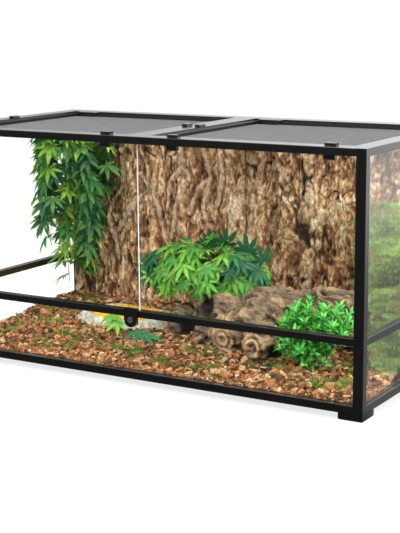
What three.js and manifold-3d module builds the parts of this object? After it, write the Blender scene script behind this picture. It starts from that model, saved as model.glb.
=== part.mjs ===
// A glass terrarium cabinet with two sliding front doors, a divided screen top and planted fittings.
// Millimetres, +Z up, +X to the viewer's right, the doors face -Y.
// The origin is the centre of the base, on the surface that the four feet stand on.

import * as THREE from "three";
import { mergeVertices } from "three/addons/utils/BufferGeometryUtils.js";
import Module from "manifold-3d";

// ---- Cabinet ----
const WIDTH = 1219;
const DEPTH = 610;
const HEIGHT = 607.5; // floor to the top of the rim
const SEAM = 0.2; // gap where two frame pieces butt
const EDGE = 1.2; // chamfer on outer edges of the frame

// ---- Feet and corner pieces ----
const FOOT_HEIGHT = 15.4;
const FOOT_WIDTH = 60; // along X
const FOOT_DEPTH = 62; // along Y
const SOLE_HEIGHT = 2;
const SOLE_INSET = 1.5;
const FOOT_WALL = 4;
const FOOT_RIB = 3;
const FOOT_ROOF = 3.5;
const CORNER_RISE = 3; // a foot's corner piece stands this much above its rails
const CORNER_DROP = 2.2; // a top corner piece hangs this much below its rails
const PLUG_LENGTH = 18;
const PLUG_FIT = 0.3;

// ---- Posts and rails ----
const POST_WIDTH = 24; // along X
const POST_DEPTH = 20; // along Y
const POST_WALL = 2.5;
const POST_BORE = { u: [POST_WALL, 14], v: [POST_WALL, 10] }; // hollow core, from the outer corner
const BOTTOM_RAIL_HEIGHT = 19.7;
const LOWER_SIGHT = 136.5; // lower glass seen between its two rails
const MID_RAIL_HEIGHT = 17;
const TOP_RAIL_HEIGHT = 17.5;
const RAIL_DEPTH = 20; // outer face to inner face of the bottom and front middle rails
const SIDE_RAIL_DEPTH = 21; // the same on rails with a hollow behind the glass
const RAIL_WALL = 2;
const SLOT_WALL = 2; // between a glass slot and the hollow under it
const FLOOR_LEDGE = 10;
const FLOOR_LEDGE_THICK = 3;

// ---- Glass ----
const GLASS = 5;
const GLASS_FIT = 0.3; // on each face of a pane
const GLASS_BITE = 7.5; // reach of a pane into posts, bottom rails and top rails
const MID_BITE = 5.5; // reach of a pane into the middle rails
const SLOT_END = 0.5; // room past a pane's edge
const PANE_INSET = 5.7; // outer face of the frame to the slot

// ---- Doors ----
const TRACK_INSET = 3; // outer face to the front track
const TRACK_LIP = 2.8; // wall between the two tracks
const LOW_TRACK_DEPTH = 6;
const DOOR_LIFT = 0.5; // running gap under a door
const DOOR_HEAD_BITE = 6.5;
const DOOR_SIDE_BITE = 3.5; // reach of a closed door into its post
const LEFT_DOOR_PAST_CENTRE = 20;
const RIGHT_DOOR_PAST_CENTRE = 18;

// ---- Rim, crossbar and screens ----
const RIM_WIDTH = 45; // flat top of the rails
const RIM_PLATE = 3.3;
const RIM_SKIRT = 4; // downstand under the rim's inner edge
const CROSSBAR_WIDTH = 64;
const CROSSBAR_WEB = 4;
const SCREEN_LEDGE = 8;
const SCREEN_LEDGE_THICK = 3;
const SCREEN_FIT = 1; // round each screen
const SCREEN_DROP = 4; // rim top to screen frame top
const SCREEN_BAR = 18;
const SCREEN_SEAT = 0.2;
const MESH_DROP = 12; // rim top to the mesh
const MESH_THICK = 0.8;
const MESH_BITE = 6;
const MESH_FIT = 0.15;
const MESH_CELLS = [8, 7]; // a plain grid of openings stands for the fine mesh
const MESH_STRAND = 9; // left between two openings

// ---- Screen latches ----
const LATCH_LENGTH = 28; // along the rim
const LATCH_STEM_LENGTH = 14;
const LATCH_BLOCK = [-20.5, -5]; // across the rim, from its inner edge
const LATCH_STEM = [-19.5, -14.5];
const LATCH_THUMB = [-24, -12];
const LATCH_RISE = 5.5;
const LATCH_HANG = 14; // below the rail
const LATCH_THUMB_HEIGHT = 13;
const LATCH_TAPER = 3; // corner cut off the thumb piece
const LATCH_FIT = 0.3;
const LATCH_TRAVEL = 10;
const FRONT_LATCH_OFFSETS = [-193, 214]; // from each screen's centre
const SIDE_LATCH_Y = -10;

// ---- Cable inlets ----
const INLET_START = 6; // from the screen's inner corner
const INLET_LENGTH = 50;
const INLET_DEPTH = 9.5;
const SHUTTER_LENGTH = 66;
const SHUTTER_REACH = [1.5, 20.5]; // across the bar, from the screen's back edge
const SHUTTER_THICK = 3.5;
const SHUTTER_FIT = 0.3;
const SHUTTER_LIP = 2;
const SHUTTER_GRIP = 6;

// ---- Lock ----
const LOCK_WIDTH = 36;
const LOCK_THICK = 7; // proud of the front
const LOCK_CORNER = 2; // radius of the tab's upper corners
const LOCK_TOP = 6.4; // above the middle rail
const LOCK_AXIS_DROP = 6.6; // key axis below the middle rail
const LOCK_HOUSING_WIDTH = 26;
const LOCK_HOUSING_DEPTH = 8.2;
const LOCK_HOUSING_DROP = 13; // below the key axis
const CYLINDER_RADIUS = 5.2;
const CYLINDER_FIT = 0.2;
const CYLINDER_HEAD = { radius: 7.5, thick: 1.2 };
const KEYWAY = { width: 2, height: 7, depth: 3 };
const CAM_PIN = { radius: 1.5, throwOut: 3.2 };
const BOLT_WIDTH = 16;
const YOKE_WIDTH = 19;
const YOKE_WALL = 2.4;
const YOKE_PLAY = 1;
const BOLT_FIT = 0.3;

// ---- Floor and fittings ----
const FLOOR_PANEL_THICK = 5;
const FLOOR_FIT = 1;
const BARK_THICK = 18;
const BARK_RELIEF = 7;
const BARK_SIDE_GAP = 1.5;
const BARK_HEAD_GAP = 1;
const BARK_STEPS = [80, 8]; // facets across the relief and up it
const SUBSTRATE_FRONT = 13; // depth on the floor panel at the doors
const SUBSTRATE_BACK = 47; // depth at the back
const SUBSTRATE_BUMP = 2;
const SUBSTRATE_STEPS = [28, 14];
const FITTING_GAP = 0.4;
const BANK_RISE = 372; // mossy bank in the back right corner, above the bedding's front
const BANK_REACH = 341; // from the back of the bedding towards the doors
const BANK_BACK_WIDTH = 243;
const BANK_FRONT_WIDTH = 42;
const BANK_STEPS = 10;
// Each lobe's middle and its half sizes: the trunk, its left end, the branch to
// the right, the stub that faces the doors and the foot beside it.
const LOG_LOBES = [
  { centre: [160, 45, 95], size: [165, 95, 104] },
  { centre: [-48, 42, 72], size: [60, 64, 56] },
  { centre: [345, 72, 162], size: [125, 46, 50] },
  { centre: [238, -72, 82], size: [52, 62, 58] },
  { centre: [112, -32, 66], size: [62, 54, 66] },
];
const LOG_KNOTS = 0.06; // swell of the knots, as a share of the radius
const LOG_STEPS = 18;
const BUSH = { centre: [-12, 60, 225], size: [190, 88, 78] };
const BUSH_STEPS = 20;
const FERN = { centre: [388, -112, 110], size: [98, 62, 112] };
const FERN_STEPS = 16;
const PLANT_KNOTS = 0.06;
const VINE_DROP = 8; // below the top rails
const VINE_CROWN = 24; // radius of the growth that joins the strands
const SHORT_STRAND = { fromSide: 74.5, fromBack: 209, radius: 44, hang: 305 };
const LONG_STRAND = { fromSide: 141.5, fromBack: 84, radius: 50, hang: 462 };

// ---- Levels and places worked out from the sizes above ----
const SLOT = GLASS + 2 * GLASS_FIT;
const SLOT_DEPTH = GLASS_BITE + SLOT_END;
const MID_SLOT_DEPTH = MID_BITE + SLOT_END;
const BACK_TRACK_INSET = TRACK_INSET + SLOT + TRACK_LIP;
const TRACKS = [TRACK_INSET, BACK_TRACK_INSET];
const DOOR_GROOVE = DOOR_SIDE_BITE + SLOT_END;
const HIGH_TRACK_DEPTH = TOP_RAIL_HEIGHT - RIM_PLATE;
const HALF_WIDTH = WIDTH / 2;
const HALF_DEPTH = DEPTH / 2;
const BOTTOM_TOP = FOOT_HEIGHT + BOTTOM_RAIL_HEIGHT;
const MID_LOW = BOTTOM_TOP + LOWER_SIGHT;
const MID_TOP = MID_LOW + MID_RAIL_HEIGHT;
const TOP_LOW = HEIGHT - TOP_RAIL_HEIGHT;
const FOOT_CORNER_TOP = BOTTOM_TOP + CORNER_RISE;
const TOP_CORNER_LOW = TOP_LOW - CORNER_DROP;
const DOOR_LOW = MID_TOP - LOW_TRACK_DEPTH + DOOR_LIFT;
const DOOR_HIGH = TOP_LOW + DOOR_HEAD_BITE;
const CROSSBAR_HALF = CROSSBAR_WIDTH / 2;
const SCREEN_HALF_X = (HALF_WIDTH - RIM_WIDTH - CROSSBAR_HALF) / 2 - SCREEN_FIT;
const SCREEN_HALF_Y = HALF_DEPTH - RIM_WIDTH - SCREEN_FIT;
const SCREEN_CENTRE = (HALF_WIDTH - RIM_WIDTH + CROSSBAR_HALF) / 2;
const SCREEN_LOW = SCREEN_LEDGE_THICK + SCREEN_SEAT - TOP_RAIL_HEIGHT;
const RAIL_HOLLOW = {
  d: [RAIL_WALL, RAIL_DEPTH - RAIL_WALL],
  z: [RAIL_WALL, BOTTOM_RAIL_HEIGHT - SLOT_DEPTH - SLOT_WALL],
};
const FRONT_MID_HOLLOW = {
  d: [RAIL_WALL, BACK_TRACK_INSET - RAIL_WALL],
  z: [RAIL_WALL, MID_RAIL_HEIGHT - LOW_TRACK_DEPTH - SLOT_WALL],
};
const SIDE_HOLLOW_D = [PANE_INSET + SLOT + RAIL_WALL, SIDE_RAIL_DEPTH - RAIL_WALL];
const SIDE_MID_HOLLOW = { d: SIDE_HOLLOW_D, z: [RAIL_WALL, MID_RAIL_HEIGHT - RAIL_WALL] };
const SIDE_TOP_HOLLOW = { d: SIDE_HOLLOW_D, z: [RAIL_WALL, HIGH_TRACK_DEPTH - RAIL_WALL] };
const PANE_D = [PANE_INSET + GLASS_FIT, PANE_INSET + GLASS_FIT + GLASS];
const LOWER_FRONT_D = [BACK_TRACK_INSET + GLASS_FIT, BACK_TRACK_INSET + GLASS_FIT + GLASS];

// ---- Solids ----
const wasm = await Module();
wasm.setup();
const PAST = 1; // how far a cutting tool runs past the face that it opens
const ROUND_STEPS = 24;

// A closed three.js geometry as a boolean solid.
function solid(geometry) {
  geometry.deleteAttribute("normal");
  geometry.deleteAttribute("uv");
  const merged = mergeVertices(geometry, 1e-4);
  const vertProperties = new Float32Array(merged.attributes.position.array);
  const triVerts = new Uint32Array(merged.index.array);
  return new wasm.Manifold(new wasm.Mesh({ numProp: 3, vertProperties, triVerts }));
}

// A boolean solid as a flat-shaded three.js geometry.
function geometryOf(body) {
  const mesh = body.getMesh();
  const geometry = new THREE.BufferGeometry();
  geometry.setAttribute("position", new THREE.BufferAttribute(mesh.vertProperties, 3));
  geometry.setIndex(new THREE.BufferAttribute(mesh.triVerts, 1));
  const flat = geometry.toNonIndexed();
  flat.computeVertexNormals();
  return flat;
}

const join = (first, ...others) => others.reduce((body, other) => body.add(other), first);
const cut = (first, ...others) => others.reduce((body, other) => body.subtract(other), first);

// A box from its low and high limits along X, Y and Z.
function box([x0, x1], [y0, y1], [z0, z1]) {
  const geometry = new THREE.BoxGeometry(x1 - x0, y1 - y0, z1 - z0);
  geometry.translate((x0 + x1) / 2, (y0 + y1) / 2, (z0 + z1) / 2);
  return solid(geometry);
}

const outlineOf = (points) => new THREE.Shape(points.map(([x, y]) => new THREE.Vector2(x, y)));

const rectangle = ([x0, x1], [y0, y1]) => [[x0, y0], [x1, y0], [x1, y1], [x0, y1]];

// An upright prism: an outline in plan, with any holes, between two levels.
function upright(points, [low, high], holes = []) {
  const shape = outlineOf(points);
  shape.holes = holes.map(outlineOf);
  const geometry = new THREE.ExtrudeGeometry(shape, { depth: high - low, bevelEnabled: false });
  geometry.translate(0, 0, low);
  return solid(geometry);
}

// A bar along X: a profile of (distance from the outer face, height), centred on x = 0.
const ALONG_X = new THREE.Matrix4().makeBasis(
  new THREE.Vector3(0, 1, 0),
  new THREE.Vector3(0, 0, 1),
  new THREE.Vector3(1, 0, 0),
);
function bar(points, length, holes = []) {
  const shape = outlineOf(points);
  shape.holes = holes.map(outlineOf);
  const geometry = new THREE.ExtrudeGeometry(shape, { depth: length, bevelEnabled: false });
  geometry.translate(0, 0, -length / 2);
  geometry.applyMatrix4(ALONG_X);
  return solid(geometry);
}

// A round piece about the Y axis from a profile of (radius, y), which starts and ends on the axis.
function turned(profile) {
  const points = profile.map(([radius, y]) => new THREE.Vector2(radius, y));
  return solid(new THREE.LatheGeometry(points, ROUND_STEPS));
}

// ---- Finishes ----
function finish(color, roughness, metalness = 0, opacity = 1) {
  return new THREE.MeshStandardMaterial({
    color,
    roughness,
    metalness,
    opacity,
    transparent: opacity < 1,
  });
}
const makeBlack = () => finish(0x15161a, 0.35);
const makeGlass = () => finish(0xdfeeea, 0.05, 0, 0.25);
const makeScreen = () => finish(0x77777c, 0.7, 0.3);
const makeSteel = () => finish(0xb9bcc0, 0.3, 1);

function piece(name, body, material) {
  const mesh = new THREE.Mesh(geometryOf(body), material);
  mesh.name = name;
  return mesh;
}

const cabinet = new THREE.Group();
cabinet.name = "terrarium_cabinet";

// ---- Four sides: each group looks along its own outer face, with y pointing inwards ----
const SIDES = {
  front: { at: [0, -HALF_DEPTH], turn: 0, half: HALF_WIDTH, along: POST_WIDTH, across: POST_DEPTH },
  right: { at: [HALF_WIDTH, 0], turn: 90, half: HALF_DEPTH, along: POST_DEPTH, across: POST_WIDTH },
  back: { at: [0, HALF_DEPTH], turn: 180, half: HALF_WIDTH, along: POST_WIDTH, across: POST_DEPTH },
  left: { at: [-HALF_WIDTH, 0], turn: -90, half: HALF_DEPTH, along: POST_DEPTH, across: POST_WIDTH },
};
for (const [name, side] of Object.entries(SIDES)) {
  side.name = name;
  side.group = new THREE.Group();
  side.group.position.set(side.at[0], side.at[1], 0);
  side.group.rotation.z = THREE.MathUtils.degToRad(side.turn);
  side.reach = side.half - side.along; // centre to the post's face
  cabinet.add(side.group);
}

// A rail is its profile along the side, kept inside the plan that the corner mitres leave it.
function rail(side, points, height, holes = []) {
  const end = side.reach - SEAM;
  const inner = side.half - RIM_WIDTH - SEAM;
  const tip = inner - SCREEN_LEDGE;
  const half = [
    [end, -PAST],
    [end, side.across],
    [inner, RIM_WIDTH],
    [tip, RIM_WIDTH + SCREEN_LEDGE],
  ];
  const mirrored = half.map(([x, y]) => [-x, y]).reverse();
  const plan = upright([...half, ...mirrored], [-PAST, height + PAST]);
  return bar(points, 2 * end + 2, holes).intersect(plan);
}

const hollowOutline = ({ d, z }) => rectangle(d, z);

// ---- Bottom rails: a glass slot above a hollow, and a ledge for the floor panel ----
function bottomRail(side, slotInset) {
  const slot = [slotInset, slotInset + SLOT];
  const slotLow = BOTTOM_RAIL_HEIGHT - SLOT_DEPTH;
  const profile = [
    [EDGE, 0],
    [RAIL_DEPTH + FLOOR_LEDGE, 0],
    [RAIL_DEPTH + FLOOR_LEDGE, FLOOR_LEDGE_THICK],
    [RAIL_DEPTH, FLOOR_LEDGE_THICK],
    [RAIL_DEPTH, BOTTOM_RAIL_HEIGHT],
    [slot[1], BOTTOM_RAIL_HEIGHT],
    [slot[1], slotLow],
    [slot[0], slotLow],
    [slot[0], BOTTOM_RAIL_HEIGHT],
    [EDGE, BOTTOM_RAIL_HEIGHT],
    [0, BOTTOM_RAIL_HEIGHT - EDGE],
    [0, EDGE],
  ];
  const body = rail(side, profile, BOTTOM_RAIL_HEIGHT, [hollowOutline(RAIL_HOLLOW)]);
  const mesh = piece("bottom_rail_" + side.name, body, makeBlack());
  mesh.position.z = FOOT_HEIGHT;
  side.group.add(mesh);
}
bottomRail(SIDES.front, BACK_TRACK_INSET);
for (const name of ["right", "back", "left"]) bottomRail(SIDES[name], PANE_INSET);

// ---- Middle rails ----
function sideMidRail(side) {
  const slot = [PANE_INSET, PANE_INSET + SLOT];
  const slotLow = MID_RAIL_HEIGHT - MID_SLOT_DEPTH;
  const profile = [
    [0, 0],
    [slot[0], 0],
    [slot[0], MID_SLOT_DEPTH],
    [slot[1], MID_SLOT_DEPTH],
    [slot[1], 0],
    [SIDE_RAIL_DEPTH, 0],
    [SIDE_RAIL_DEPTH, MID_RAIL_HEIGHT],
    [slot[1], MID_RAIL_HEIGHT],
    [slot[1], slotLow],
    [slot[0], slotLow],
    [slot[0], MID_RAIL_HEIGHT],
    [EDGE, MID_RAIL_HEIGHT],
    [0, MID_RAIL_HEIGHT - EDGE],
  ];
  const body = rail(side, profile, MID_RAIL_HEIGHT, [hollowOutline(SIDE_MID_HOLLOW)]);
  const mesh = piece("mid_rail_" + side.name, body, makeBlack());
  mesh.position.z = MID_LOW;
  side.group.add(mesh);
}
sideMidRail(SIDES.right);
sideMidRail(SIDES.left);

// The front middle rail carries the doors in two tracks and holds the lower glass from above.
function frontMidRail(side) {
  const trackLow = MID_RAIL_HEIGHT - LOW_TRACK_DEPTH;
  const profile = [
    [0, 0],
    [BACK_TRACK_INSET, 0],
    [BACK_TRACK_INSET, MID_SLOT_DEPTH],
    [BACK_TRACK_INSET + SLOT, MID_SLOT_DEPTH],
    [BACK_TRACK_INSET + SLOT, 0],
    [RAIL_DEPTH, 0],
    [RAIL_DEPTH, MID_RAIL_HEIGHT],
    ...TRACKS.toReversed().flatMap((inset) => [
      [inset + SLOT, MID_RAIL_HEIGHT],
      [inset + SLOT, trackLow],
      [inset, trackLow],
      [inset, MID_RAIL_HEIGHT],
    ]),
    [EDGE, MID_RAIL_HEIGHT],
    [0, MID_RAIL_HEIGHT - EDGE],
  ];
  const body = rail(side, profile, MID_RAIL_HEIGHT, [hollowOutline(FRONT_MID_HOLLOW)]);
  const boltHalf = BOLT_WIDTH / 2 + BOLT_FIT;
  const boltSlot = box(
    [-boltHalf, boltHalf],
    [TRACK_INSET + SLOT - GLASS_FIT, BACK_TRACK_INSET + GLASS_FIT / 2],
    [-PAST, MID_RAIL_HEIGHT + PAST],
  );
  const mesh = piece("mid_rail_front", cut(body, boltSlot), makeBlack());
  mesh.position.z = MID_LOW;
  side.group.add(mesh);
}
frontMidRail(SIDES.front);

// ---- Top rails: the rim plate, its skirt and the ledge that a screen rests on ----
const rimProfile = (bodyDepth) => [
  [bodyDepth, 0],
  [bodyDepth, HIGH_TRACK_DEPTH],
  [RIM_WIDTH - RIM_SKIRT, HIGH_TRACK_DEPTH],
  [RIM_WIDTH - RIM_SKIRT, 0],
  [RIM_WIDTH + SCREEN_LEDGE, 0],
  [RIM_WIDTH + SCREEN_LEDGE, SCREEN_LEDGE_THICK],
  [RIM_WIDTH, SCREEN_LEDGE_THICK],
  [RIM_WIDTH, TOP_RAIL_HEIGHT],
  [EDGE, TOP_RAIL_HEIGHT],
  [0, TOP_RAIL_HEIGHT - EDGE],
];

// The way that a latch's stem needs through the rim plate, with the rim's inner edge at `edge`.
function latchSlot(x, edge) {
  const half = LATCH_STEM_LENGTH / 2 + LATCH_FIT;
  return box(
    [x - half, x + half],
    [edge + LATCH_STEM[0] - LATCH_FIT, edge + LATCH_STEM[1] + LATCH_TRAVEL + LATCH_FIT],
    [HIGH_TRACK_DEPTH - PAST, TOP_RAIL_HEIGHT + PAST],
  );
}

function topRail(side, latchPlaces) {
  const isFront = side === SIDES.front;
  const glass = isFront
    ? TRACKS.flatMap((inset) => [
        [inset, 0],
        [inset, HIGH_TRACK_DEPTH],
        [inset + SLOT, HIGH_TRACK_DEPTH],
        [inset + SLOT, 0],
      ])
    : [
        [PANE_INSET, 0],
        [PANE_INSET, SLOT_DEPTH],
        [PANE_INSET + SLOT, SLOT_DEPTH],
        [PANE_INSET + SLOT, 0],
      ];
  const profile = [[0, 0], ...glass, ...rimProfile(isFront ? RAIL_DEPTH : SIDE_RAIL_DEPTH)];
  const holes = isFront ? [] : [hollowOutline(SIDE_TOP_HOLLOW)];
  const body = rail(side, profile, TOP_RAIL_HEIGHT, holes);
  const slots = latchPlaces.map((x) => latchSlot(x, RIM_WIDTH));
  const mesh = piece("top_rail_" + side.name, cut(body, ...slots), makeBlack());
  mesh.position.z = TOP_LOW;
  side.group.add(mesh);
}
const FRONT_LATCH_PLACES = [-SCREEN_CENTRE, SCREEN_CENTRE].flatMap((centre) =>
  FRONT_LATCH_OFFSETS.map((offset) => centre + offset),
);
topRail(SIDES.front, FRONT_LATCH_PLACES);
topRail(SIDES.right, [SIDE_LATCH_Y]);
topRail(SIDES.back, []);
topRail(SIDES.left, [-SIDE_LATCH_Y]);

// ---- Crossbar between the two screens, seated on the front and back ledges ----
function crossbar() {
  const skirt = CROSSBAR_HALF - RIM_SKIRT;
  const ledge = CROSSBAR_HALF + SCREEN_LEDGE;
  const web = CROSSBAR_WEB / 2;
  const half = [
    [web, 0],
    [web, HIGH_TRACK_DEPTH],
    [skirt, HIGH_TRACK_DEPTH],
    [skirt, 0],
    [ledge, 0],
    [ledge, SCREEN_LEDGE_THICK],
    [CROSSBAR_HALF, SCREEN_LEDGE_THICK],
    [CROSSBAR_HALF, TOP_RAIL_HEIGHT],
  ];
  const mirrored = half.map(([x, z]) => [-x, z]).reverse();
  const end = HALF_DEPTH - RIM_WIDTH - SEAM;
  const shoulder = end - SCREEN_LEDGE;
  let body = bar([...half, ...mirrored], 2 * end);
  for (const sign of [-1, 1]) {
    const run = [sign * shoulder, sign * (end + PAST)].sort((a, b) => a - b);
    body = cut(body, box(run, [-ledge - PAST, ledge + PAST], [-PAST, SCREEN_LEDGE_THICK + SEAM]));
    const slot = latchSlot(0, 0).rotate([0, 0, 90 * (1 - sign)]);
    body = cut(body, slot.translate([-SIDE_LATCH_Y, sign * CROSSBAR_HALF, 0]));
  }
  const mesh = piece("crossbar", body, makeBlack());
  mesh.rotation.z = -Math.PI / 2;
  mesh.position.z = TOP_LOW;
  cabinet.add(mesh);
}
crossbar();

// ---- Corners: u runs inwards along X and v inwards along Y from the outer corner ----
const COLUMN = [[EDGE, 0], [POST_WIDTH, 0], [POST_WIDTH, POST_DEPTH], [0, POST_DEPTH], [0, EDGE]];
const shrink = ([low, high], by) => [low + by, high - by];
const endPlug = (z) => box(shrink(POST_BORE.u, PLUG_FIT), shrink(POST_BORE.v, PLUG_FIT), z);
const sideSlot = (z) =>
  box([PANE_INSET, PANE_INSET + SLOT], [POST_DEPTH - SLOT_DEPTH, POST_DEPTH + PAST], z);
const backSlot = (z) =>
  box([POST_WIDTH - SLOT_DEPTH, POST_WIDTH + PAST], [PANE_INSET, PANE_INSET + SLOT], z);
const lowerFrontSlot = (z) =>
  box([POST_WIDTH - SLOT_DEPTH, POST_WIDTH + PAST], [BACK_TRACK_INSET, BACK_TRACK_INSET + SLOT], z);
const doorGrooves = (z) =>
  TRACKS.map((inset) => box([POST_WIDTH - DOOR_GROOVE, POST_WIDTH + PAST], [inset, inset + SLOT], z));
const plugAlongX = (v, z) =>
  box([POST_WIDTH - PAST, POST_WIDTH + PLUG_LENGTH], shrink(v, PLUG_FIT), shrink(z, PLUG_FIT));
const plugAlongY = (u, z) =>
  box(shrink(u, PLUG_FIT), [POST_DEPTH - PAST, POST_DEPTH + PLUG_LENGTH], shrink(z, PLUG_FIT));
const lift = ([low, high], by) => [low + by, high + by];
const PANE_LOW = BOTTOM_TOP - SLOT_DEPTH;
const PANE_HIGH = TOP_LOW + SLOT_DEPTH;

// A foot: hollow and ribbed underneath, with the corner piece of the bottom rails standing on it.
function footCorner(isFront) {
  const roof = FOOT_HEIGHT - SEAM;
  const sole = SOLE_INSET;
  const shell = join(
    box([0, FOOT_WIDTH], [0, FOOT_DEPTH], [SOLE_HEIGHT, roof]),
    box([sole, FOOT_WIDTH - sole], [sole, FOOT_DEPTH - sole], [0, SOLE_HEIGHT + PAST]),
  );
  const pocketsAlong = (length) => [
    [FOOT_WALL, (length - FOOT_RIB) / 2],
    [(length + FOOT_RIB) / 2, length - FOOT_WALL],
  ];
  const pockets = pocketsAlong(FOOT_WIDTH).flatMap((u) =>
    pocketsAlong(FOOT_DEPTH).map((v) => box(u, v, [-PAST, FOOT_HEIGHT - FOOT_ROOF])),
  );
  const hollowZ = lift(RAIL_HOLLOW.z, FOOT_HEIGHT);
  const body = join(
    cut(shell, ...pockets),
    upright(COLUMN, [roof - PAST, FOOT_CORNER_TOP]),
    plugAlongX(RAIL_HOLLOW.d, hollowZ),
    plugAlongY(RAIL_HOLLOW.d, hollowZ),
    endPlug([FOOT_CORNER_TOP - PAST, FOOT_CORNER_TOP + PLUG_LENGTH]),
  );
  const glassZ = [PANE_LOW, FOOT_CORNER_TOP + PAST];
  const facing = isFront ? lowerFrontSlot(glassZ) : backSlot(glassZ);
  return cut(body, sideSlot(glassZ), facing);
}

function lowerPost(isFront) {
  const low = FOOT_CORNER_TOP + SEAM;
  const whole = [low - PAST, MID_TOP + PAST];
  const bore = rectangle(POST_BORE.u, POST_BORE.v);
  let body = cut(upright(COLUMN, [low, MID_TOP], [bore]), sideSlot(whole));
  if (isFront) {
    body = cut(body, lowerFrontSlot([whole[0], MID_LOW + MID_SLOT_DEPTH]));
    body = cut(body, ...doorGrooves([DOOR_LOW - DOOR_LIFT, whole[1]]));
    body = join(body, plugAlongX(FRONT_MID_HOLLOW.d, lift(FRONT_MID_HOLLOW.z, MID_LOW)));
  } else {
    body = cut(body, backSlot(whole));
  }
  const stub = box(POST_BORE.u, POST_BORE.v, [MID_LOW, MID_TOP]);
  const sidePlug = plugAlongY(SIDE_MID_HOLLOW.d, lift(SIDE_MID_HOLLOW.z, MID_LOW));
  return join(body, stub, endPlug([MID_TOP - PAST, MID_TOP + PLUG_LENGTH]), sidePlug);
}

function upperPost(isFront) {
  const z = [MID_TOP + SEAM, TOP_CORNER_LOW - SEAM];
  const past = [z[0] - PAST, z[1] + PAST];
  const body = upright(COLUMN, z, [rectangle(POST_BORE.u, POST_BORE.v)]);
  return cut(body, sideSlot(past), ...(isFront ? doorGrooves(past) : [backSlot(past)]));
}

function topCorner(isFront) {
  const hollowZ = lift(SIDE_TOP_HOLLOW.z, TOP_LOW);
  const glassZ = [TOP_CORNER_LOW - PAST, PANE_HIGH];
  const above = [DOOR_HEAD_BITE + SLOT_END, HIGH_TRACK_DEPTH].map((z) => z + TOP_LOW);
  const column = upright(COLUMN, [TOP_CORNER_LOW, HEIGHT]);
  const openings = isFront
    ? doorGrooves([TOP_CORNER_LOW - PAST, above[0]])
    : [backSlot(glassZ)];
  const plugs = isFront
    ? TRACKS.map((inset) => plugAlongX([inset, inset + SLOT], above))
    : [plugAlongX(SIDE_TOP_HOLLOW.d, hollowZ)];
  return join(
    cut(column, sideSlot(glassZ), ...openings),
    ...plugs,
    plugAlongY(SIDE_TOP_HOLLOW.d, hollowZ),
    endPlug([TOP_CORNER_LOW - PLUG_LENGTH, TOP_CORNER_LOW + PAST]),
  );
}

const CORNERS = [
  { name: "front_left", sx: -1, sy: -1 },
  { name: "front_right", sx: 1, sy: -1 },
  { name: "back_left", sx: -1, sy: 1 },
  { name: "back_right", sx: 1, sy: 1 },
];
const CORNER_PIECES = {
  foot: footCorner,
  lower_post: lowerPost,
  upper_post: upperPost,
  top_corner: topCorner,
};
for (const { name, sx, sy } of CORNERS) {
  const corner = new THREE.Group();
  corner.position.set(sx * HALF_WIDTH, sy * HALF_DEPTH, 0);
  corner.scale.set(-sx, -sy, 1);
  for (const [kind, make] of Object.entries(CORNER_PIECES)) {
    corner.add(piece(kind + "_" + name, make(sy < 0), makeBlack()));
  }
  cabinet.add(corner);
}

// ---- Fixed glass ----
function pane(side, name, d, [low, high], halfLength) {
  const mesh = piece(name, box([-halfLength, halfLength], d, [low, high]), makeGlass());
  side.group.add(mesh);
}
const paneHalf = (side) => side.reach + GLASS_BITE;
const LOWER_PANE_Z = [BOTTOM_TOP - GLASS_BITE, MID_LOW + MID_BITE];
const UPPER_PANE_Z = [MID_TOP - MID_BITE, TOP_LOW + GLASS_BITE];
pane(SIDES.front, "lower_pane_front", LOWER_FRONT_D, LOWER_PANE_Z, paneHalf(SIDES.front));
pane(SIDES.back, "pane_back", PANE_D, [LOWER_PANE_Z[0], UPPER_PANE_Z[1]], paneHalf(SIDES.back));
for (const name of ["left", "right"]) {
  pane(SIDES[name], "lower_pane_" + name, PANE_D, LOWER_PANE_Z, paneHalf(SIDES[name]));
  pane(SIDES[name], "upper_pane_" + name, PANE_D, UPPER_PANE_Z, paneHalf(SIDES[name]));
}

// ---- Sliding doors: the left one runs in the front track, the right one behind it ----
function door(name, track, [x0, x1]) {
  const d = [track + GLASS_FIT, track + GLASS_FIT + GLASS];
  SIDES.front.group.add(piece(name, box([x0, x1], d, [DOOR_LOW, DOOR_HIGH]), makeGlass()));
}
const DOOR_EDGE = HALF_WIDTH - POST_WIDTH + DOOR_SIDE_BITE;
door("door_left", TRACKS[0], [-DOOR_EDGE, LEFT_DOOR_PAST_CENTRE]);
door("door_right", TRACKS[1], [-RIGHT_DOOR_PAST_CENTRE, DOOR_EDGE]);

// ---- Floor panel ----
function floorPanel() {
  const low = FOOT_HEIGHT + FLOOR_LEDGE_THICK + SEAM;
  const halfX = HALF_WIDTH - RAIL_DEPTH - FLOOR_FIT;
  const halfY = HALF_DEPTH - RAIL_DEPTH - FLOOR_FIT;
  const body = box([-halfX, halfX], [-halfY, halfY], [low, low + FLOOR_PANEL_THICK]);
  cabinet.add(piece("floor_panel", body, makeBlack()));
  return low + FLOOR_PANEL_THICK;
}
const FLOOR_TOP = floorPanel();

// ---- Screens: a bar frame round a mesh, notched at one back corner for cables ----
const INLET_X = [0, INLET_LENGTH].map((x) => x + INLET_START + SCREEN_BAR - SCREEN_HALF_X);
const INLET_Y = [0, INLET_DEPTH + PAST].map((y) => y + SCREEN_HALF_Y - SCREEN_BAR - PAST);
const MESH_Z = [-MESH_DROP - MESH_THICK, -MESH_DROP];

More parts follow.
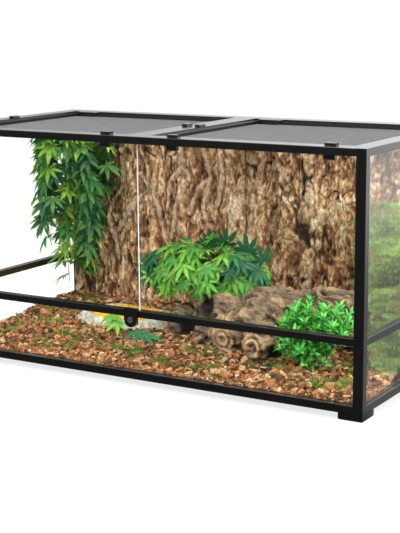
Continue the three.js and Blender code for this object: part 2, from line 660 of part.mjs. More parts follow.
function screenFrame() {
  const outer = rectangle([-SCREEN_HALF_X, SCREEN_HALF_X], [-SCREEN_HALF_Y, SCREEN_HALF_Y]);
  const innerX = SCREEN_HALF_X - SCREEN_BAR;
  const innerY = SCREEN_HALF_Y - SCREEN_BAR;
  const inner = rectangle([-innerX, innerX], [-innerY, innerY]);
  const ring = upright(outer, [SCREEN_LOW, -SCREEN_DROP], [inner]);
  const reach = MESH_BITE + SLOT_END;
  const slot = box(
    [-innerX - reach, innerX + reach],
    [-innerY - reach, innerY + reach],
    [MESH_Z[0] - MESH_FIT, MESH_Z[1] + MESH_FIT],
  );
  return cut(ring, slot, box(INLET_X, INLET_Y, [SCREEN_LOW - PAST, -SCREEN_DROP + PAST]));
}

// The openings of one row of the grid, which starts at the frame's inner edge.
function meshRow(halfInner, count) {
  const pitch = (2 * halfInner + MESH_STRAND) / count;
  return Array.from({ length: count }, (_, i) => {
    const low = i * pitch - halfInner;
    return [low, low + pitch - MESH_STRAND];
  });
}

function screenMesh() {
  const innerX = SCREEN_HALF_X - SCREEN_BAR;
  const innerY = SCREEN_HALF_Y - SCREEN_BAR;
  const reach = [innerX + MESH_BITE, innerY + MESH_BITE];
  const sheet = box([-reach[0], reach[0]], [-reach[1], reach[1]], MESH_Z);
  const through = [MESH_Z[0] - PAST, MESH_Z[1] + PAST];
  const columns = meshRow(innerX, MESH_CELLS[0]);
  const rows = meshRow(innerY, MESH_CELLS[1]);
  const cells = columns.flatMap((x) => rows.map((y) => box(x, y, through)));
  const beside = [INLET_X[0] - MESH_STRAND, INLET_X[1] + MESH_STRAND];
  const strand = box(beside, [INLET_Y[0] - MESH_STRAND, INLET_Y[1]], through);
  return cut(sheet, cut(join(...cells), strand), box(INLET_X, INLET_Y, through));
}

// The shutter covers the notch from above and shows a lip over the mesh.
function inletShutter() {
  const x0 = SCREEN_BAR - SCREEN_HALF_X;
  const x = [x0, x0 + SHUTTER_LENGTH];
  const back = SCREEN_HALF_Y - SHUTTER_REACH[0];
  const lipFace = SCREEN_HALF_Y - SHUTTER_REACH[1];
  const low = SHUTTER_FIT - SCREEN_DROP;
  const high = low + SHUTTER_THICK;
  return join(
    box(x, [lipFace, back], [low, high]),
    box(x, [lipFace, lipFace + SHUTTER_LIP], [SHUTTER_FIT - MESH_DROP, high]),
    box([x[1] - SHUTTER_GRIP, x[1]], [lipFace - SHUTTER_LIP, back], [low, high]),
  );
}

for (const [name, sx] of [["left", -1], ["right", 1]]) {
  const screen = new THREE.Group();
  screen.position.set(sx * SCREEN_CENTRE, 0, HEIGHT);
  screen.add(piece("screen_frame_" + name, screenFrame(), makeBlack()));
  screen.add(piece("screen_mesh_" + name, screenMesh(), makeScreen()));
  screen.add(piece("inlet_shutter_" + name, inletShutter(), makeBlack()));
  cabinet.add(screen);
}

// ---- Screen latches: a block on the rim, a stem through it and a thumb piece inside ----
function latchBody() {
  const [back, nose] = LATCH_BLOCK;
  const low = LATCH_FIT;
  const high = LATCH_FIT + LATCH_RISE;
  const nosed = (high + low) / 2;
  const upper = [[back, low], [nose, low], [nose, nosed], [nose - (high - nosed), high], [back, high]];
  const thumbLow = -TOP_RAIL_HEIGHT - LATCH_HANG;
  const thumbHigh = thumbLow + LATCH_THUMB_HEIGHT;
  const taper = LATCH_TAPER;
  const thumb = [
    [LATCH_THUMB[0] + taper, thumbLow],
    [LATCH_THUMB[1] - taper, thumbLow],
    [LATCH_THUMB[1], thumbLow + taper],
    [LATCH_THUMB[1], thumbHigh],
    [LATCH_THUMB[0], thumbHigh],
    [LATCH_THUMB[0], thumbLow + taper],
  ];
  const stemHalf = LATCH_STEM_LENGTH / 2;
  const half = LATCH_LENGTH / 2;
  return join(
    bar(upper, LATCH_LENGTH),
    box([-stemHalf, stemHalf], LATCH_STEM, [-RIM_PLATE - 2 * LATCH_FIT, low + PAST]),
    box([-half, half], LATCH_STEM, [thumbHigh - PAST, -RIM_PLATE - LATCH_FIT]),
    bar(thumb, LATCH_LENGTH),
  );
}

function latch(name, [x, y], turn) {
  const mesh = piece("latch_" + name, latchBody(), makeBlack());
  mesh.position.set(x, y, HEIGHT);
  mesh.rotation.z = THREE.MathUtils.degToRad(turn);
  cabinet.add(mesh);
}
FRONT_LATCH_PLACES.forEach((x, i) => latch("front_" + (i + 1), [x, RIM_WIDTH - HALF_DEPTH], 0));
latch("side_left", [RIM_WIDTH - HALF_WIDTH, SIDE_LATCH_Y], -90);
latch("bar_left", [-CROSSBAR_HALF, SIDE_LATCH_Y], 90);
latch("bar_right", [CROSSBAR_HALF, SIDE_LATCH_Y], -90);
latch("side_right", [HALF_WIDTH - RIM_WIDTH, SIDE_LATCH_Y], 90);

// ---- Lock: a tab on the middle rail, a key cylinder, and a bolt that rises between the doors ----
const LOCK = new THREE.Group();
LOCK.position.set(0, -HALF_DEPTH, MID_LOW - LOCK_AXIS_DROP);
cabinet.add(LOCK);
const LOCK_HIGH = LOCK_AXIS_DROP + MID_RAIL_HEIGHT + LOCK_TOP;

function lockBody() {
  const half = LOCK_WIDTH / 2;
  const corner = LOCK_CORNER;
  const shape = new THREE.Shape();
  shape.absarc(0, 0, half, Math.PI, 2 * Math.PI, false);
  shape.absarc(half - corner, LOCK_HIGH - corner, corner, 0, Math.PI / 2, false);
  shape.absarc(corner - half, LOCK_HIGH - corner, corner, Math.PI / 2, Math.PI, false);
  const geometry = new THREE.ExtrudeGeometry(shape, { depth: LOCK_THICK, bevelEnabled: false });
  geometry.rotateX(Math.PI / 2);
  geometry.translate(0, -SEAM, 0);
  const wing = LOCK_HOUSING_WIDTH / 2;
  const housing = box(
    [-wing, wing],
    [-PAST, LOCK_HOUSING_DEPTH],
    [-LOCK_HOUSING_DROP, LOCK_AXIS_DROP - SEAM],
  );
  const boreRadius = CYLINDER_RADIUS + CYLINDER_FIT;
  const bore = turned([
    [0, -LOCK_THICK - PAST],
    [boreRadius, -LOCK_THICK - PAST],
    [boreRadius, LOCK_HOUSING_DEPTH + PAST],
    [0, LOCK_HOUSING_DEPTH + PAST],
  ]);
  return cut(join(solid(geometry), housing), bore);
}

function lockCylinder() {
  const face = -LOCK_THICK - SEAM - CYLINDER_FIT;
  const barrel = turned([
    [0, face - CYLINDER_HEAD.thick],
    [CYLINDER_HEAD.radius, face - CYLINDER_HEAD.thick],
    [CYLINDER_HEAD.radius, face],
    [CYLINDER_RADIUS, face],
    [CYLINDER_RADIUS, LOCK_HOUSING_DEPTH],
    [0, LOCK_HOUSING_DEPTH],
  ]);
  const pinEnd = BACK_TRACK_INSET - GLASS_FIT / 2;
  const pin = turned([
    [0, LOCK_HOUSING_DEPTH - PAST],
    [CAM_PIN.radius, LOCK_HOUSING_DEPTH - PAST],
    [CAM_PIN.radius, pinEnd],
    [0, pinEnd],
  ]).translate([0, 0, -CAM_PIN.throwOut]);
  const keyway = box(
    [-KEYWAY.width / 2, KEYWAY.width / 2],
    [face - CYLINDER_HEAD.thick - PAST, face + KEYWAY.depth],
    [-KEYWAY.height / 2, KEYWAY.height / 2],
  );
  return cut(join(barrel, pin), keyway);
}

function lockBolt() {
  const d = [TRACK_INSET + SLOT, BACK_TRACK_INSET];
  const slotHalf = CAM_PIN.radius + YOKE_PLAY;
  const slotReach = CAM_PIN.throwOut + slotHalf;
  const middle = -CAM_PIN.throwOut;
  const yokeTop = middle + slotHalf + YOKE_WALL;
  const yoke = box([-YOKE_WIDTH / 2, YOKE_WIDTH / 2], d, [middle - slotHalf - YOKE_WALL, yokeTop]);
  const slot = box(
    [-slotReach, slotReach],
    [d[0] - PAST, d[1] + PAST],
    [middle - slotHalf, middle + slotHalf],
  );
  const top = LOCK_AXIS_DROP + MID_RAIL_HEIGHT - SLOT_END;
  const blade = box([-BOLT_WIDTH / 2, BOLT_WIDTH / 2], d, [yokeTop - PAST, top]);
  return join(cut(yoke, slot), blade);
}

LOCK.add(piece("lock_body", lockBody(), makeBlack()));
LOCK.add(piece("lock_cylinder", lockCylinder(), makeSteel()));
LOCK.add(piece("lock_bolt", lockBolt(), makeSteel()));

// ---- Fittings: a bark wall, bedding, a log and plants ----
const BACK_FACE = HALF_DEPTH - POST_DEPTH - SEAM;
const BARK_FACE = BACK_FACE - BARK_THICK;
const INNER_HALF = HALF_WIDTH - PANE_D[1] - BARK_SIDE_GAP;

// Moves the vertices of a geometry one by one.
function shaped(geometry, move) {
  const position = geometry.attributes.position;
  const point = new THREE.Vector3();
  for (let i = 0; i < position.count; i += 1) {
    point.fromBufferAttribute(position, i);
    move(point);
    position.setXYZ(i, point.x, point.y, point.z);
  }
  return solid(geometry);
}

// Long upright ridges that wander and fork a little.
function barkRelief(x, z) {
  const wander = 9 * Math.sin(z / 71) + 5 * Math.sin(z / 29 + x / 90);
  const ridges = Math.sin((x + wander) / 13.5) + 0.6 * Math.sin((x - wander) / 31 + z / 160);
  return (BARK_RELIEF * ridges) / 1.6;
}

function barkWall() {
  const low = FLOOR_TOP + SEAM;
  const high = TOP_LOW - BARK_HEAD_GAP;
  const [across, up] = BARK_STEPS;
  const geometry = new THREE.BoxGeometry(2 * INNER_HALF, BARK_THICK, high - low, across, 1, up);
  geometry.translate(0, BACK_FACE - BARK_THICK / 2, (low + high) / 2);
  const wall = shaped(geometry, (p) => {
    if (p.y < BACK_FACE - BARK_THICK / 2) p.y -= barkRelief(p.x, p.z) - BARK_RELIEF / 3;
  });
  const depth = [BARK_FACE - 2 * BARK_THICK, BACK_FACE + PAST];
  const notches = [-1, 1].flatMap((sign) => {
    const inner = sign * (HALF_WIDTH - SIDE_RAIL_DEPTH - FITTING_GAP);
    const run = [inner, sign * HALF_WIDTH].sort((a, b) => a - b);
    return [
      box(run, depth, [0, BOTTOM_TOP + FITTING_GAP]),
      box(run, depth, [MID_LOW - FITTING_GAP, MID_TOP + FITTING_GAP]),
    ];
  });
  return cut(wall, ...notches);
}

const FRONT_FACE = RAIL_DEPTH + FITTING_GAP - HALF_DEPTH;
const BED_BACK = BARK_FACE - BARK_RELIEF - FITTING_GAP;
const BED_HALF = HALF_WIDTH - POST_WIDTH - SEAM;

function bedHeight(x, y) {
  const t = THREE.MathUtils.smoothstep(y, FRONT_FACE, BED_BACK);
  const slope = SUBSTRATE_FRONT + (SUBSTRATE_BACK - SUBSTRATE_FRONT) * t;
  return slope + SUBSTRATE_BUMP * (Math.sin(x / 43) * Math.cos(y / 37) + Math.sin(x / 97 + y / 61));
}

function bedding() {
  const low = FLOOR_TOP + SEAM;
  const high = low + SUBSTRATE_FRONT;
  const depth = BED_BACK - FRONT_FACE;
  const geometry = new THREE.BoxGeometry(2 * BED_HALF, depth, high - low, ...SUBSTRATE_STEPS, 1);
  geometry.translate(0, (BED_BACK + FRONT_FACE) / 2, (low + high) / 2);
  const bed = shaped(geometry, (p) => {
    if (p.z > (low + high) / 2) p.z = low + bedHeight(p.x, p.y);
  });
  return join(bed, bank(low));
}

// A bank that swells up to the bark, kept inside its plan by the corner.
function bank(low) {
  const slope = Array.from({ length: BANK_STEPS + 1 }, (_, i) => {
    const t = i / BANK_STEPS;
    const rise = SUBSTRATE_FRONT + BANK_RISE * THREE.MathUtils.smoothstep(t, 0, 1);
    return [BED_BACK - BANK_REACH * (1 - t), low + rise];
  });
  const profile = [[BED_BACK - BANK_REACH, low], [BED_BACK, low], ...slope.reverse()];
  const plan = [
    [BED_HALF - BANK_FRONT_WIDTH, BED_BACK - BANK_REACH],
    [BED_HALF, BED_BACK - BANK_REACH],
    [BED_HALF, BED_BACK],
    [BED_HALF - BANK_BACK_WIDTH, BED_BACK],
  ];
  return bar(profile, WIDTH).intersect(upright(plan, [0, HEIGHT]));
}

// A rounded lump with a knotty surface.
function lump({ centre, size }, steps, knots) {
  const geometry = new THREE.SphereGeometry(1, steps, steps / 2);
  return shaped(geometry, (p) => {
    const swell = 1 + knots * Math.sin(5 * p.x + 2 * p.z) * Math.cos(4 * p.y + 3 * p.z);
    p.set(
      centre[0] + size[0] * swell * Math.sign(p.x) * Math.abs(p.x) ** 0.8,
      centre[1] + size[1] * swell * Math.sign(p.y) * Math.abs(p.y) ** 0.8,
      centre[2] + size[2] * swell * Math.sign(p.z) * Math.abs(p.z) ** 0.8,
    );
  });
}

// Cuts a body back from a neighbour with a small gap on every side.
function clearOf(body, neighbour) {
  const gap = FITTING_GAP;
  const shifts = [-gap, 0, gap].flatMap((x) => [-gap, 0, gap].map((y) => [x, y, 0]));
  shifts.push([0, 0, gap], [0, 0, -gap]);
  return cut(body, ...shifts.map((shift) => neighbour.translate(shift)));
}

// A round rod between two points.
function rod(from, to, radius) {
  const start = new THREE.Vector3(...from);
  const run = new THREE.Vector3(...to).sub(start);
  const geometry = new THREE.CylinderGeometry(radius, radius, run.length(), 12);
  const upwards = new THREE.Vector3(0, 1, 0);
  geometry.applyQuaternion(new THREE.Quaternion().setFromUnitVectors(upwards, run.clone().normalize()));
  geometry.translate(...start.addScaledVector(run, 0.5).toArray());
  return solid(geometry);
}

// Two trailing strands that share a crown; the long one leans on the bark.
function vine() {
  const high = TOP_LOW - VINE_DROP;
  const level = high - VINE_CROWN - PAST;
  const strands = [SHORT_STRAND, LONG_STRAND].map(({ fromSide, fromBack, radius, hang }) => {
    const at = [fromSide - HALF_WIDTH, HALF_DEPTH - fromBack];
    const low = TOP_LOW - hang;
    const points = [[0, low], [radius * 0.5, low + radius], [radius, low + 3 * radius]];
    points.push([radius, high - radius], [radius * 0.7, high], [0, high]);
    const profile = points.map(([r, z]) => new THREE.Vector2(r, z));
    const geometry = new THREE.LatheGeometry(profile, 12);
    geometry.rotateX(Math.PI / 2);
    geometry.translate(...at, 0);
    return { body: solid(geometry), top: [...at, level] };
  });
  const [first, second] = strands;
  return join(first.body, second.body, rod(first.top, second.top, VINE_CROWN));
}

const bark = barkWall();
const bed = bedding();
const ground = join(bed, box([-WIDTH, WIDTH], [-DEPTH, DEPTH], [-HEIGHT, FLOOR_TOP + PAST]));
const log = clearOf(join(...LOG_LOBES.map((lobe) => lump(lobe, LOG_STEPS, LOG_KNOTS))), ground);
const bush = clearOf(clearOf(lump(BUSH, BUSH_STEPS, PLANT_KNOTS), log), ground);
const fern = clearOf(clearOf(lump(FERN, FERN_STEPS, PLANT_KNOTS), log), ground);

cabinet.add(piece("bark_background", bark, finish(0x7a5a3c, 0.9)));
cabinet.add(piece("bedding", bed, finish(0xa8663a, 0.95)));
cabinet.add(piece("log", log, finish(0x6d5b4a, 0.9)));
cabinet.add(piece("vine", clearOf(vine(), bark), finish(0x4f8f2a, 0.6)));
cabinet.add(piece("bush", bush, finish(0x3f9a3c, 0.6)));
cabinet.add(piece("fern", fern, finish(0x2fae3c, 0.5)));

export default cabinet;
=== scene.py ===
import math

import bmesh
import bpy
import numpy as np
from mathutils import Matrix, Vector


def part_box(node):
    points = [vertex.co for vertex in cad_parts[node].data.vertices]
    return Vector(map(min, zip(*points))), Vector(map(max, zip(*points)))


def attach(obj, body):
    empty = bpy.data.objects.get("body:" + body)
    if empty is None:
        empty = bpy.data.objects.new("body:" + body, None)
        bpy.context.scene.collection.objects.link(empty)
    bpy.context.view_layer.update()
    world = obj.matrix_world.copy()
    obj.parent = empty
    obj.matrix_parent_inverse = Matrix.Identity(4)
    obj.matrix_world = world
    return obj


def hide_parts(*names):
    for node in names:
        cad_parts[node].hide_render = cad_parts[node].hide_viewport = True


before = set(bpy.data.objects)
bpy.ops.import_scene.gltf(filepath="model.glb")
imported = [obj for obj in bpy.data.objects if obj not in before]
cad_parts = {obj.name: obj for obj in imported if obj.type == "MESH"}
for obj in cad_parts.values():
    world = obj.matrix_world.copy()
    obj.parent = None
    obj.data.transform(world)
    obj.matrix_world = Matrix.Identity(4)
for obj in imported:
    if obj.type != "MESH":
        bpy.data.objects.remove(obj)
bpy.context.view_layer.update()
TAU = 2 * math.pi
GOLDEN = 0.618034

# ---- Camera ----
IMAGE_HEIGHT = 533
FOCAL_PIXELS = 1344.5
SENSOR = 36.0
CAMERA_PLACE = (1.7786, -2.927, 0.9154)
YAW, PITCH, ROLL = (math.radians(a) for a in (31.15, 11.11, -0.47))
camera_data = bpy.data.cameras.new("camera")
camera_data.sensor_width = SENSOR
camera_data.lens = FOCAL_PIXELS / IMAGE_HEIGHT * SENSOR
camera = bpy.data.objects.new("camera", camera_data)
bpy.context.scene.collection.objects.link(camera)
turn = Matrix.Rotation(YAW, 4, "Z") @ Matrix.Rotation(math.pi / 2 - PITCH, 4, "X")
camera.matrix_world = Matrix.Translation(CAMERA_PLACE) @ turn @ Matrix.Rotation(ROLL, 4, "Z")
bpy.context.scene.camera = camera


# ---- Noise on arrays ----
def hashed(cells, seed):
    """A number from 0 to 1 for each whole-numbered cell."""
    h = np.full(cells.shape[:-1], seed * 1013904223 + 12345, dtype=np.int64)
    for axis, prime in enumerate((374761393, 668265263, 2147483629)):
        if axis < cells.shape[-1]:
            h = (h + cells[..., axis] * prime) & 0xFFFFFFFF
            h = ((h ^ (h >> 15)) * 2246822519) & 0xFFFFFFFF
    h = ((h ^ (h >> 13)) * 3266489917) & 0xFFFFFFFF
    return ((h ^ (h >> 16)) & 0xFFFFFF) / float(0xFFFFFF)


def smooth_noise(points, seed=0):
    """Smooth noise from -1 to 1 at points of two or three coordinates."""
    low = np.floor(points).astype(np.int64)
    part = points - low
    part = part * part * (3 - 2 * part)
    total = np.zeros(points.shape[:-1])
    axes = points.shape[-1]
    for corner in range(2**axes):
        step = np.array([(corner >> a) & 1 for a in range(axes)])
        weight = np.prod(np.where(step, part, 1 - part), axis=-1)
        total += weight * hashed(low + step, seed)
    return total * 2 - 1


def layered(points, octaves=4, seed=0, gain=0.5):
    """Noise with finer layers added, roughly from -1 to 1."""
    total = np.zeros(points.shape[:-1])
    size = 1.0
    weight = 1.0
    whole = 0.0
    for octave in range(octaves):
        total += weight * smooth_noise(points * size + 17.3 * octave, seed + octave)
        whole += weight
        weight *= gain
        size *= 2.03
    return total / whole * 1.6


def ramp(value, low, high):
    t = np.clip((value - low) / (high - low), 0, 1)
    return t * t * (3 - 2 * t)


# ---- Meshes ----
def make_object(name, verts, faces, material, body="root", slot=None, colors=None, smooth=False):
    """A piece from vertex rows and faces, with an optional colour for each vertex."""
    mesh = bpy.data.meshes.new(name)
    verts = np.asarray(verts, dtype=np.float32)
    if isinstance(faces, np.ndarray):
        count, sides = faces.shape
        mesh.vertices.add(len(verts))
        mesh.vertices.foreach_set("co", verts.ravel())
        mesh.loops.add(count * sides)
        mesh.loops.foreach_set("vertex_index", faces.astype(np.int32).ravel())
        mesh.polygons.add(count)
        mesh.polygons.foreach_set("loop_start", np.arange(0, count * sides, sides, dtype=np.int32))
        mesh.update(calc_edges=True)
    else:
        mesh.from_pydata([tuple(map(float, v)) for v in verts], [], faces)
    if colors is not None:
        rows = np.ones((len(verts), 4), dtype=np.float32)
        rows[:, : colors.shape[1]] = colors
        attribute = mesh.color_attributes.new("tint", "FLOAT_COLOR", "POINT")
        attribute.data.foreach_set("color", rows.ravel())
    mesh.validate()
    mesh.polygons.foreach_set("use_smooth", [smooth] * len(mesh.polygons))
    mesh.materials.append(material)
    piece = bpy.data.objects.new(name, mesh)
    bpy.context.scene.collection.objects.link(piece)
    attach(piece, body)
    return piece


def grid_faces(rows, columns):
    index = np.arange(rows * columns).reshape(rows, columns)
    corners = (index[:-1, :-1], index[:-1, 1:], index[1:, 1:], index[1:, :-1])
    return np.stack([corner.ravel() for corner in corners], axis=1)


def ring_faces(rings, sides):
    """The walls between rings of points that follow one another."""
    faces = []
    for ring in range(rings - 1):
        for side in range(sides):
            a, b = ring * sides + side, ring * sides + (side + 1) % sides
            faces.append((a, b, b + sides, a + sides))
    return faces


def copied_faces(faces, count, step):
    """An array of rows for each face, one row for each copy whose points lie step further on."""
    starts = (np.arange(count) * step)[:, None]
    return [starts + np.array(face) for face in faces]


class Heap:
    """Collects small shapes into one mesh."""

    def __init__(self):
        self.verts = []
        self.faces = []
        self.colors = []
        self.count = 0

    def add(self, verts, faces, color):
        """Takes one colour, or a row for each vertex."""
        self.verts.append(np.asarray(verts, dtype=float))
        self.faces += [tuple(i + self.count for i in face) for face in faces]
        self.colors.append(np.ones((len(verts), 1)) * np.asarray(color, dtype=float))
        self.count += len(verts)

    def build(self, name, material, low=-np.inf, high=np.inf, **options):
        """Low and high hold the vertices inside their neighbours."""
        verts = np.clip(np.concatenate(self.verts), low, high)
        return make_object(name, verts, self.faces, material, colors=np.concatenate(self.colors), **options)


# ---- Materials ----
class Nodes:
    """A node tree with short ways to add nodes; inputs are values or the sockets that feed them."""

    def __init__(self, tree):
        self.tree = tree

    def feed(self, target, value):
        if isinstance(value, bpy.types.NodeSocket):
            self.tree.links.new(value, target)
        elif isinstance(value, tuple) and target.type == "RGBA":
            target.default_value = (*value, 1)
        else:
            target.default_value = value

    def node(self, kind, inputs=None, **values):
        made = self.tree.nodes.new(kind)
        for key, value in values.items():
            setattr(made, key, value)
        for key, value in (inputs or {}).items():
            self.feed(made.inputs[key], value)
        return made

    def math(self, operation, first, second=0.0):
        return self.node("ShaderNodeMath", {0: first, 1: second}, operation=operation).outputs[0]

    def map_range(self, value, source, target):
        names = ("From Min", "From Max", "To Min", "To Max")
        inputs = dict(zip(names, (*source, *target)), Value=value)
        return self.node("ShaderNodeMapRange", inputs).outputs["Result"]

    def axes(self, vector):
        return self.node("ShaderNodeSeparateXYZ", {0: vector}).outputs

    def mix_shader(self, factor, first, second):
        return self.node("ShaderNodeMixShader", {0: factor, 1: first, 2: second}).outputs[0]

    def emission(self, strength=1.0):
        return self.node("ShaderNodeEmission", {"Strength": strength}).outputs[0]

    def straight(self, turns):
        """1 where the ray came through glass without being mirrored or scattered; else 0."""
        path = self.node("ShaderNodeLightPath").outputs
        turned = self.math("SUBTRACT", path["Ray Depth"], path["Transmission Depth"])
        return self.math("LESS_THAN", turned, turns)


class Look(Nodes):
    """A material with its Principled shader."""

    def __init__(self, name, **inputs):
        self.material = bpy.data.materials.new(name)
        self.material.use_nodes = True
        super().__init__(self.material.node_tree)
        self.shader = self.tree.nodes["Principled BSDF"]
        self.bsdf = self.shader.outputs["BSDF"]
        for key, value in inputs.items():
            self.feed(self.shader.inputs[key.replace("_", " ")], value)
        self.place = self.node("ShaderNodeTexCoord").outputs["Object"]

    def noise(self, scale, detail=4.0, rough=0.55, stretch=None):
        place = self.place
        if stretch:
            place = self.node("ShaderNodeMapping", {"Scale": stretch, "Vector": place}).outputs["Vector"]
        inputs = {"Scale": scale, "Detail": detail, "Roughness": rough, "Vector": place}
        return self.node("ShaderNodeTexNoise", inputs).outputs["Fac"]

    def ramp(self, factor, stops):
        made = self.node("ShaderNodeValToRGB", {"Fac": factor})
        elements = made.color_ramp.elements
        while len(elements) < len(stops):
            elements.new(0.5)
        for element, (at, color) in zip(elements, stops):
            element.position = at
            element.color = (*color, 1) if isinstance(color, tuple) else (color, color, color, 1)
        return made.outputs["Color"]

    def mix(self, factor, first, second, blend="MIX"):
        inputs = {"Factor": factor, "A": first, "B": second}
        made = self.node("ShaderNodeMix", inputs, data_type="RGBA", blend_type=blend)
        return next(s for s in made.outputs if s.type == "RGBA")

    def multiplied(self, base, factor, stops):
        return self.mix(1.0, base, self.ramp(factor, stops), "MULTIPLY")

    def tint(self):
        return self.node("ShaderNodeAttribute", attribute_name="tint").outputs["Color"]

    def tint_parts(self):
        return self.node("ShaderNodeSeparateColor", {"Color": self.tint()}).outputs

    def color(self, source):
        self.feed(self.shader.inputs["Base Color"], source)

    def roughness(self, factor, low, high):
        self.feed(self.shader.inputs["Roughness"], self.map_range(factor, (0, 1), (low, high)))

    def bump(self, height, distance):
        made = self.node("ShaderNodeBump", {"Distance": distance, "Strength": 1.0, "Height": height})
        self.feed(self.shader.inputs["Normal"], made.outputs["Normal"])

    def surface(self, shader):
        self.feed(self.tree.nodes["Material Output"].inputs["Surface"], shader)


def black_plastic():
    look = Look("black_plastic", Roughness=0.3, IOR=1.5, Coat_Weight=1.0, Coat_Roughness=0.12)
    cloud = look.noise(14, 3)
    look.color(look.ramp(cloud, [(0.3, (0.0018, 0.0019, 0.0022)), (0.75, (0.0034, 0.0036, 0.004))]))
    look.roughness(look.noise(60, 4), 0.24, 0.36)
    look.bump(look.noise(900, 2), 0.00004)
    return look.material


def clear_glass(name, frosted_and_shaded_edge=None):
    """Clear glass; an edge colour, if given, goes on its faces along X."""
    look = Look(name, Roughness=0.0, IOR=1.5, Transmission_Weight=1.0, Base_Color=(0.985, 1.0, 0.993))
    clear = look.node("ShaderNodeBsdfTransparent", {"Color": (0.97, 0.985, 0.98)})
    shadow = look.node("ShaderNodeLightPath").outputs["Is Shadow Ray"]
    pane = look.mix_shader(shadow, look.bsdf, clear.outputs["BSDF"])
    if frosted_and_shaded_edge:
        facing = look.axes(look.node("ShaderNodeTexCoord").outputs["Normal"])
        along = look.ramp(look.math("ABSOLUTE", facing["X"]), [(0.8, 0.0), (0.95, 1.0)])
        frost_and_shade = look.node("ShaderNodeBsdfPrincipled", {"Base Color": frosted_and_shaded_edge, "Roughness": 0.35})
        pane = look.mix_shader(along, pane, frost_and_shade.outputs["BSDF"])
    look.surface(pane)
    return look.material


def satin_nickel():
    look = Look("satin_nickel", Roughness=0.3, Metallic=1.0)
    brushed = look.noise(700, 3, stretch=(1, 1, 12))
    look.color(look.ramp(brushed, [(0.2, (0.55, 0.56, 0.58)), (0.8, (0.78, 0.79, 0.8))]))
    look.roughness(brushed, 0.22, 0.4)
    look.bump(brushed, 0.00003)
    return look.material


def mesh_wire():
    look = Look("mesh_wire", Roughness=0.5, Specular_IOR_Level=0.4)
    cloud = look.noise(40, 3)
    look.color(look.ramp(cloud, [(0.3, (0.155, 0.155, 0.163)), (0.7, (0.2, 0.2, 0.21))]))
    return look.material


def bark_skin():
    """The tint holds how deep a point lies in the cracks, darkened there as painted shade, how far it is on a vein, and
    its plate's shade.
    """
    look = Look("bark_skin", Roughness=0.85)
    crack_shade, vein, shade = look.tint_parts()
    upright = (1, 1, 0.45)
    base = look.ramp(shade, [
        (0.0, (0.065, 0.025, 0.01)), (0.25, (0.22, 0.095, 0.036)), (0.47, (0.5, 0.255, 0.11)),
        (0.66, (0.84, 0.5, 0.25)), (0.88, (1.0, 0.8, 0.52)),
    ])
    grain = look.noise(120, 6, 0.7, stretch=upright)
    base = look.multiplied(base, grain, [(0.33, 0.3), (0.46, 0.85), (0.56, 1.2), (0.68, 1.9)])
    rust = look.ramp(look.noise(24, 4, 0.65), [(0.52, 0.0), (0.7, 0.55)])
    base = look.mix(rust, base, (0.5, 0.2, 0.075))
    grey = look.ramp(look.noise(10, 3), [(0.55, 0.0), (0.78, 0.3)])
    base = look.mix(grey, base, (0.24, 0.15, 0.09))
    # Veins are paler: partly the bark's own paler veins, partly a painted highlight.
    pale = look.multiplied((0.88, 0.6, 0.4), grain, [(0.34, 0.5), (0.5, 1.0), (0.68, 1.5)])
    base = look.mix(look.ramp(vein, [(0.1, 0.0), (0.6, 0.85)]), base, pale)
    # Cracks darken nearly to black: partly the bark's darker crevices, partly painted shade.
    base = look.mix(look.ramp(crack_shade, [(0.0, 0.0), (0.9, 0.94)]), base, (0.03, 0.014, 0.007))
    look.color(base)
    look.bump(look.noise(260, 5, 0.65, stretch=upright), 0.0018)
    return look.material


def chip_wood():
    look = Look("chip_wood", Roughness=0.75)
    grain = look.noise(260, 5, 0.6)
    look.color(look.multiplied(look.tint(), grain, [(0.25, 0.45), (0.5, 1.0), (0.75, 1.5)]))
    look.bump(grain, 0.0008)
    return look.material


def soil():
    look = Look("soil", Roughness=0.95)
    grain = look.noise(120, 6, 0.7)
    stops = [(0.3, (0.03, 0.016, 0.009)), (0.55, (0.14, 0.07, 0.035)), (0.75, (0.3, 0.16, 0.08))]
    look.color(look.ramp(grain, stops))
    look.bump(grain, 0.004)
    return look.material


def leaf_skin(name, gloss, glow):
    """A leaf that lets some light through; the tint is its own green."""
    look = Look(name, Roughness=gloss)
    green = look.multiplied(look.tint(), look.noise(90, 4), [(0.3, 0.72), (0.6, 1.0), (0.8, 1.18)])
    look.color(green)
    look.bump(look.noise(500, 3), 0.0005)
    through = look.node("ShaderNodeBsdfTranslucent", {"Color": green})
    look.surface(look.mix_shader(glow, look.bsdf, through.outputs["BSDF"]))
    return look.material


def moss_mat():
    look = Look("moss_mat", Roughness=0.9)
    tuft = look.noise(90, 6, 0.7)
    green = look.ramp(tuft, [(0.3, (0.05, 0.14, 0.015)), (0.5, (0.3, 0.5, 0.06)), (0.72, (0.62, 0.75, 0.16))])
    patch = look.ramp(look.noise(9, 3, 0.6), [(0.5, 0.0), (0.68, 0.8)])
    straw = look.ramp(tuft, [(0.3, (0.2, 0.11, 0.02)), (0.7, (0.8, 0.66, 0.22))])
    look.color(look.mix(patch, green, straw))
    look.bump(tuft, 0.006)
    return look.material


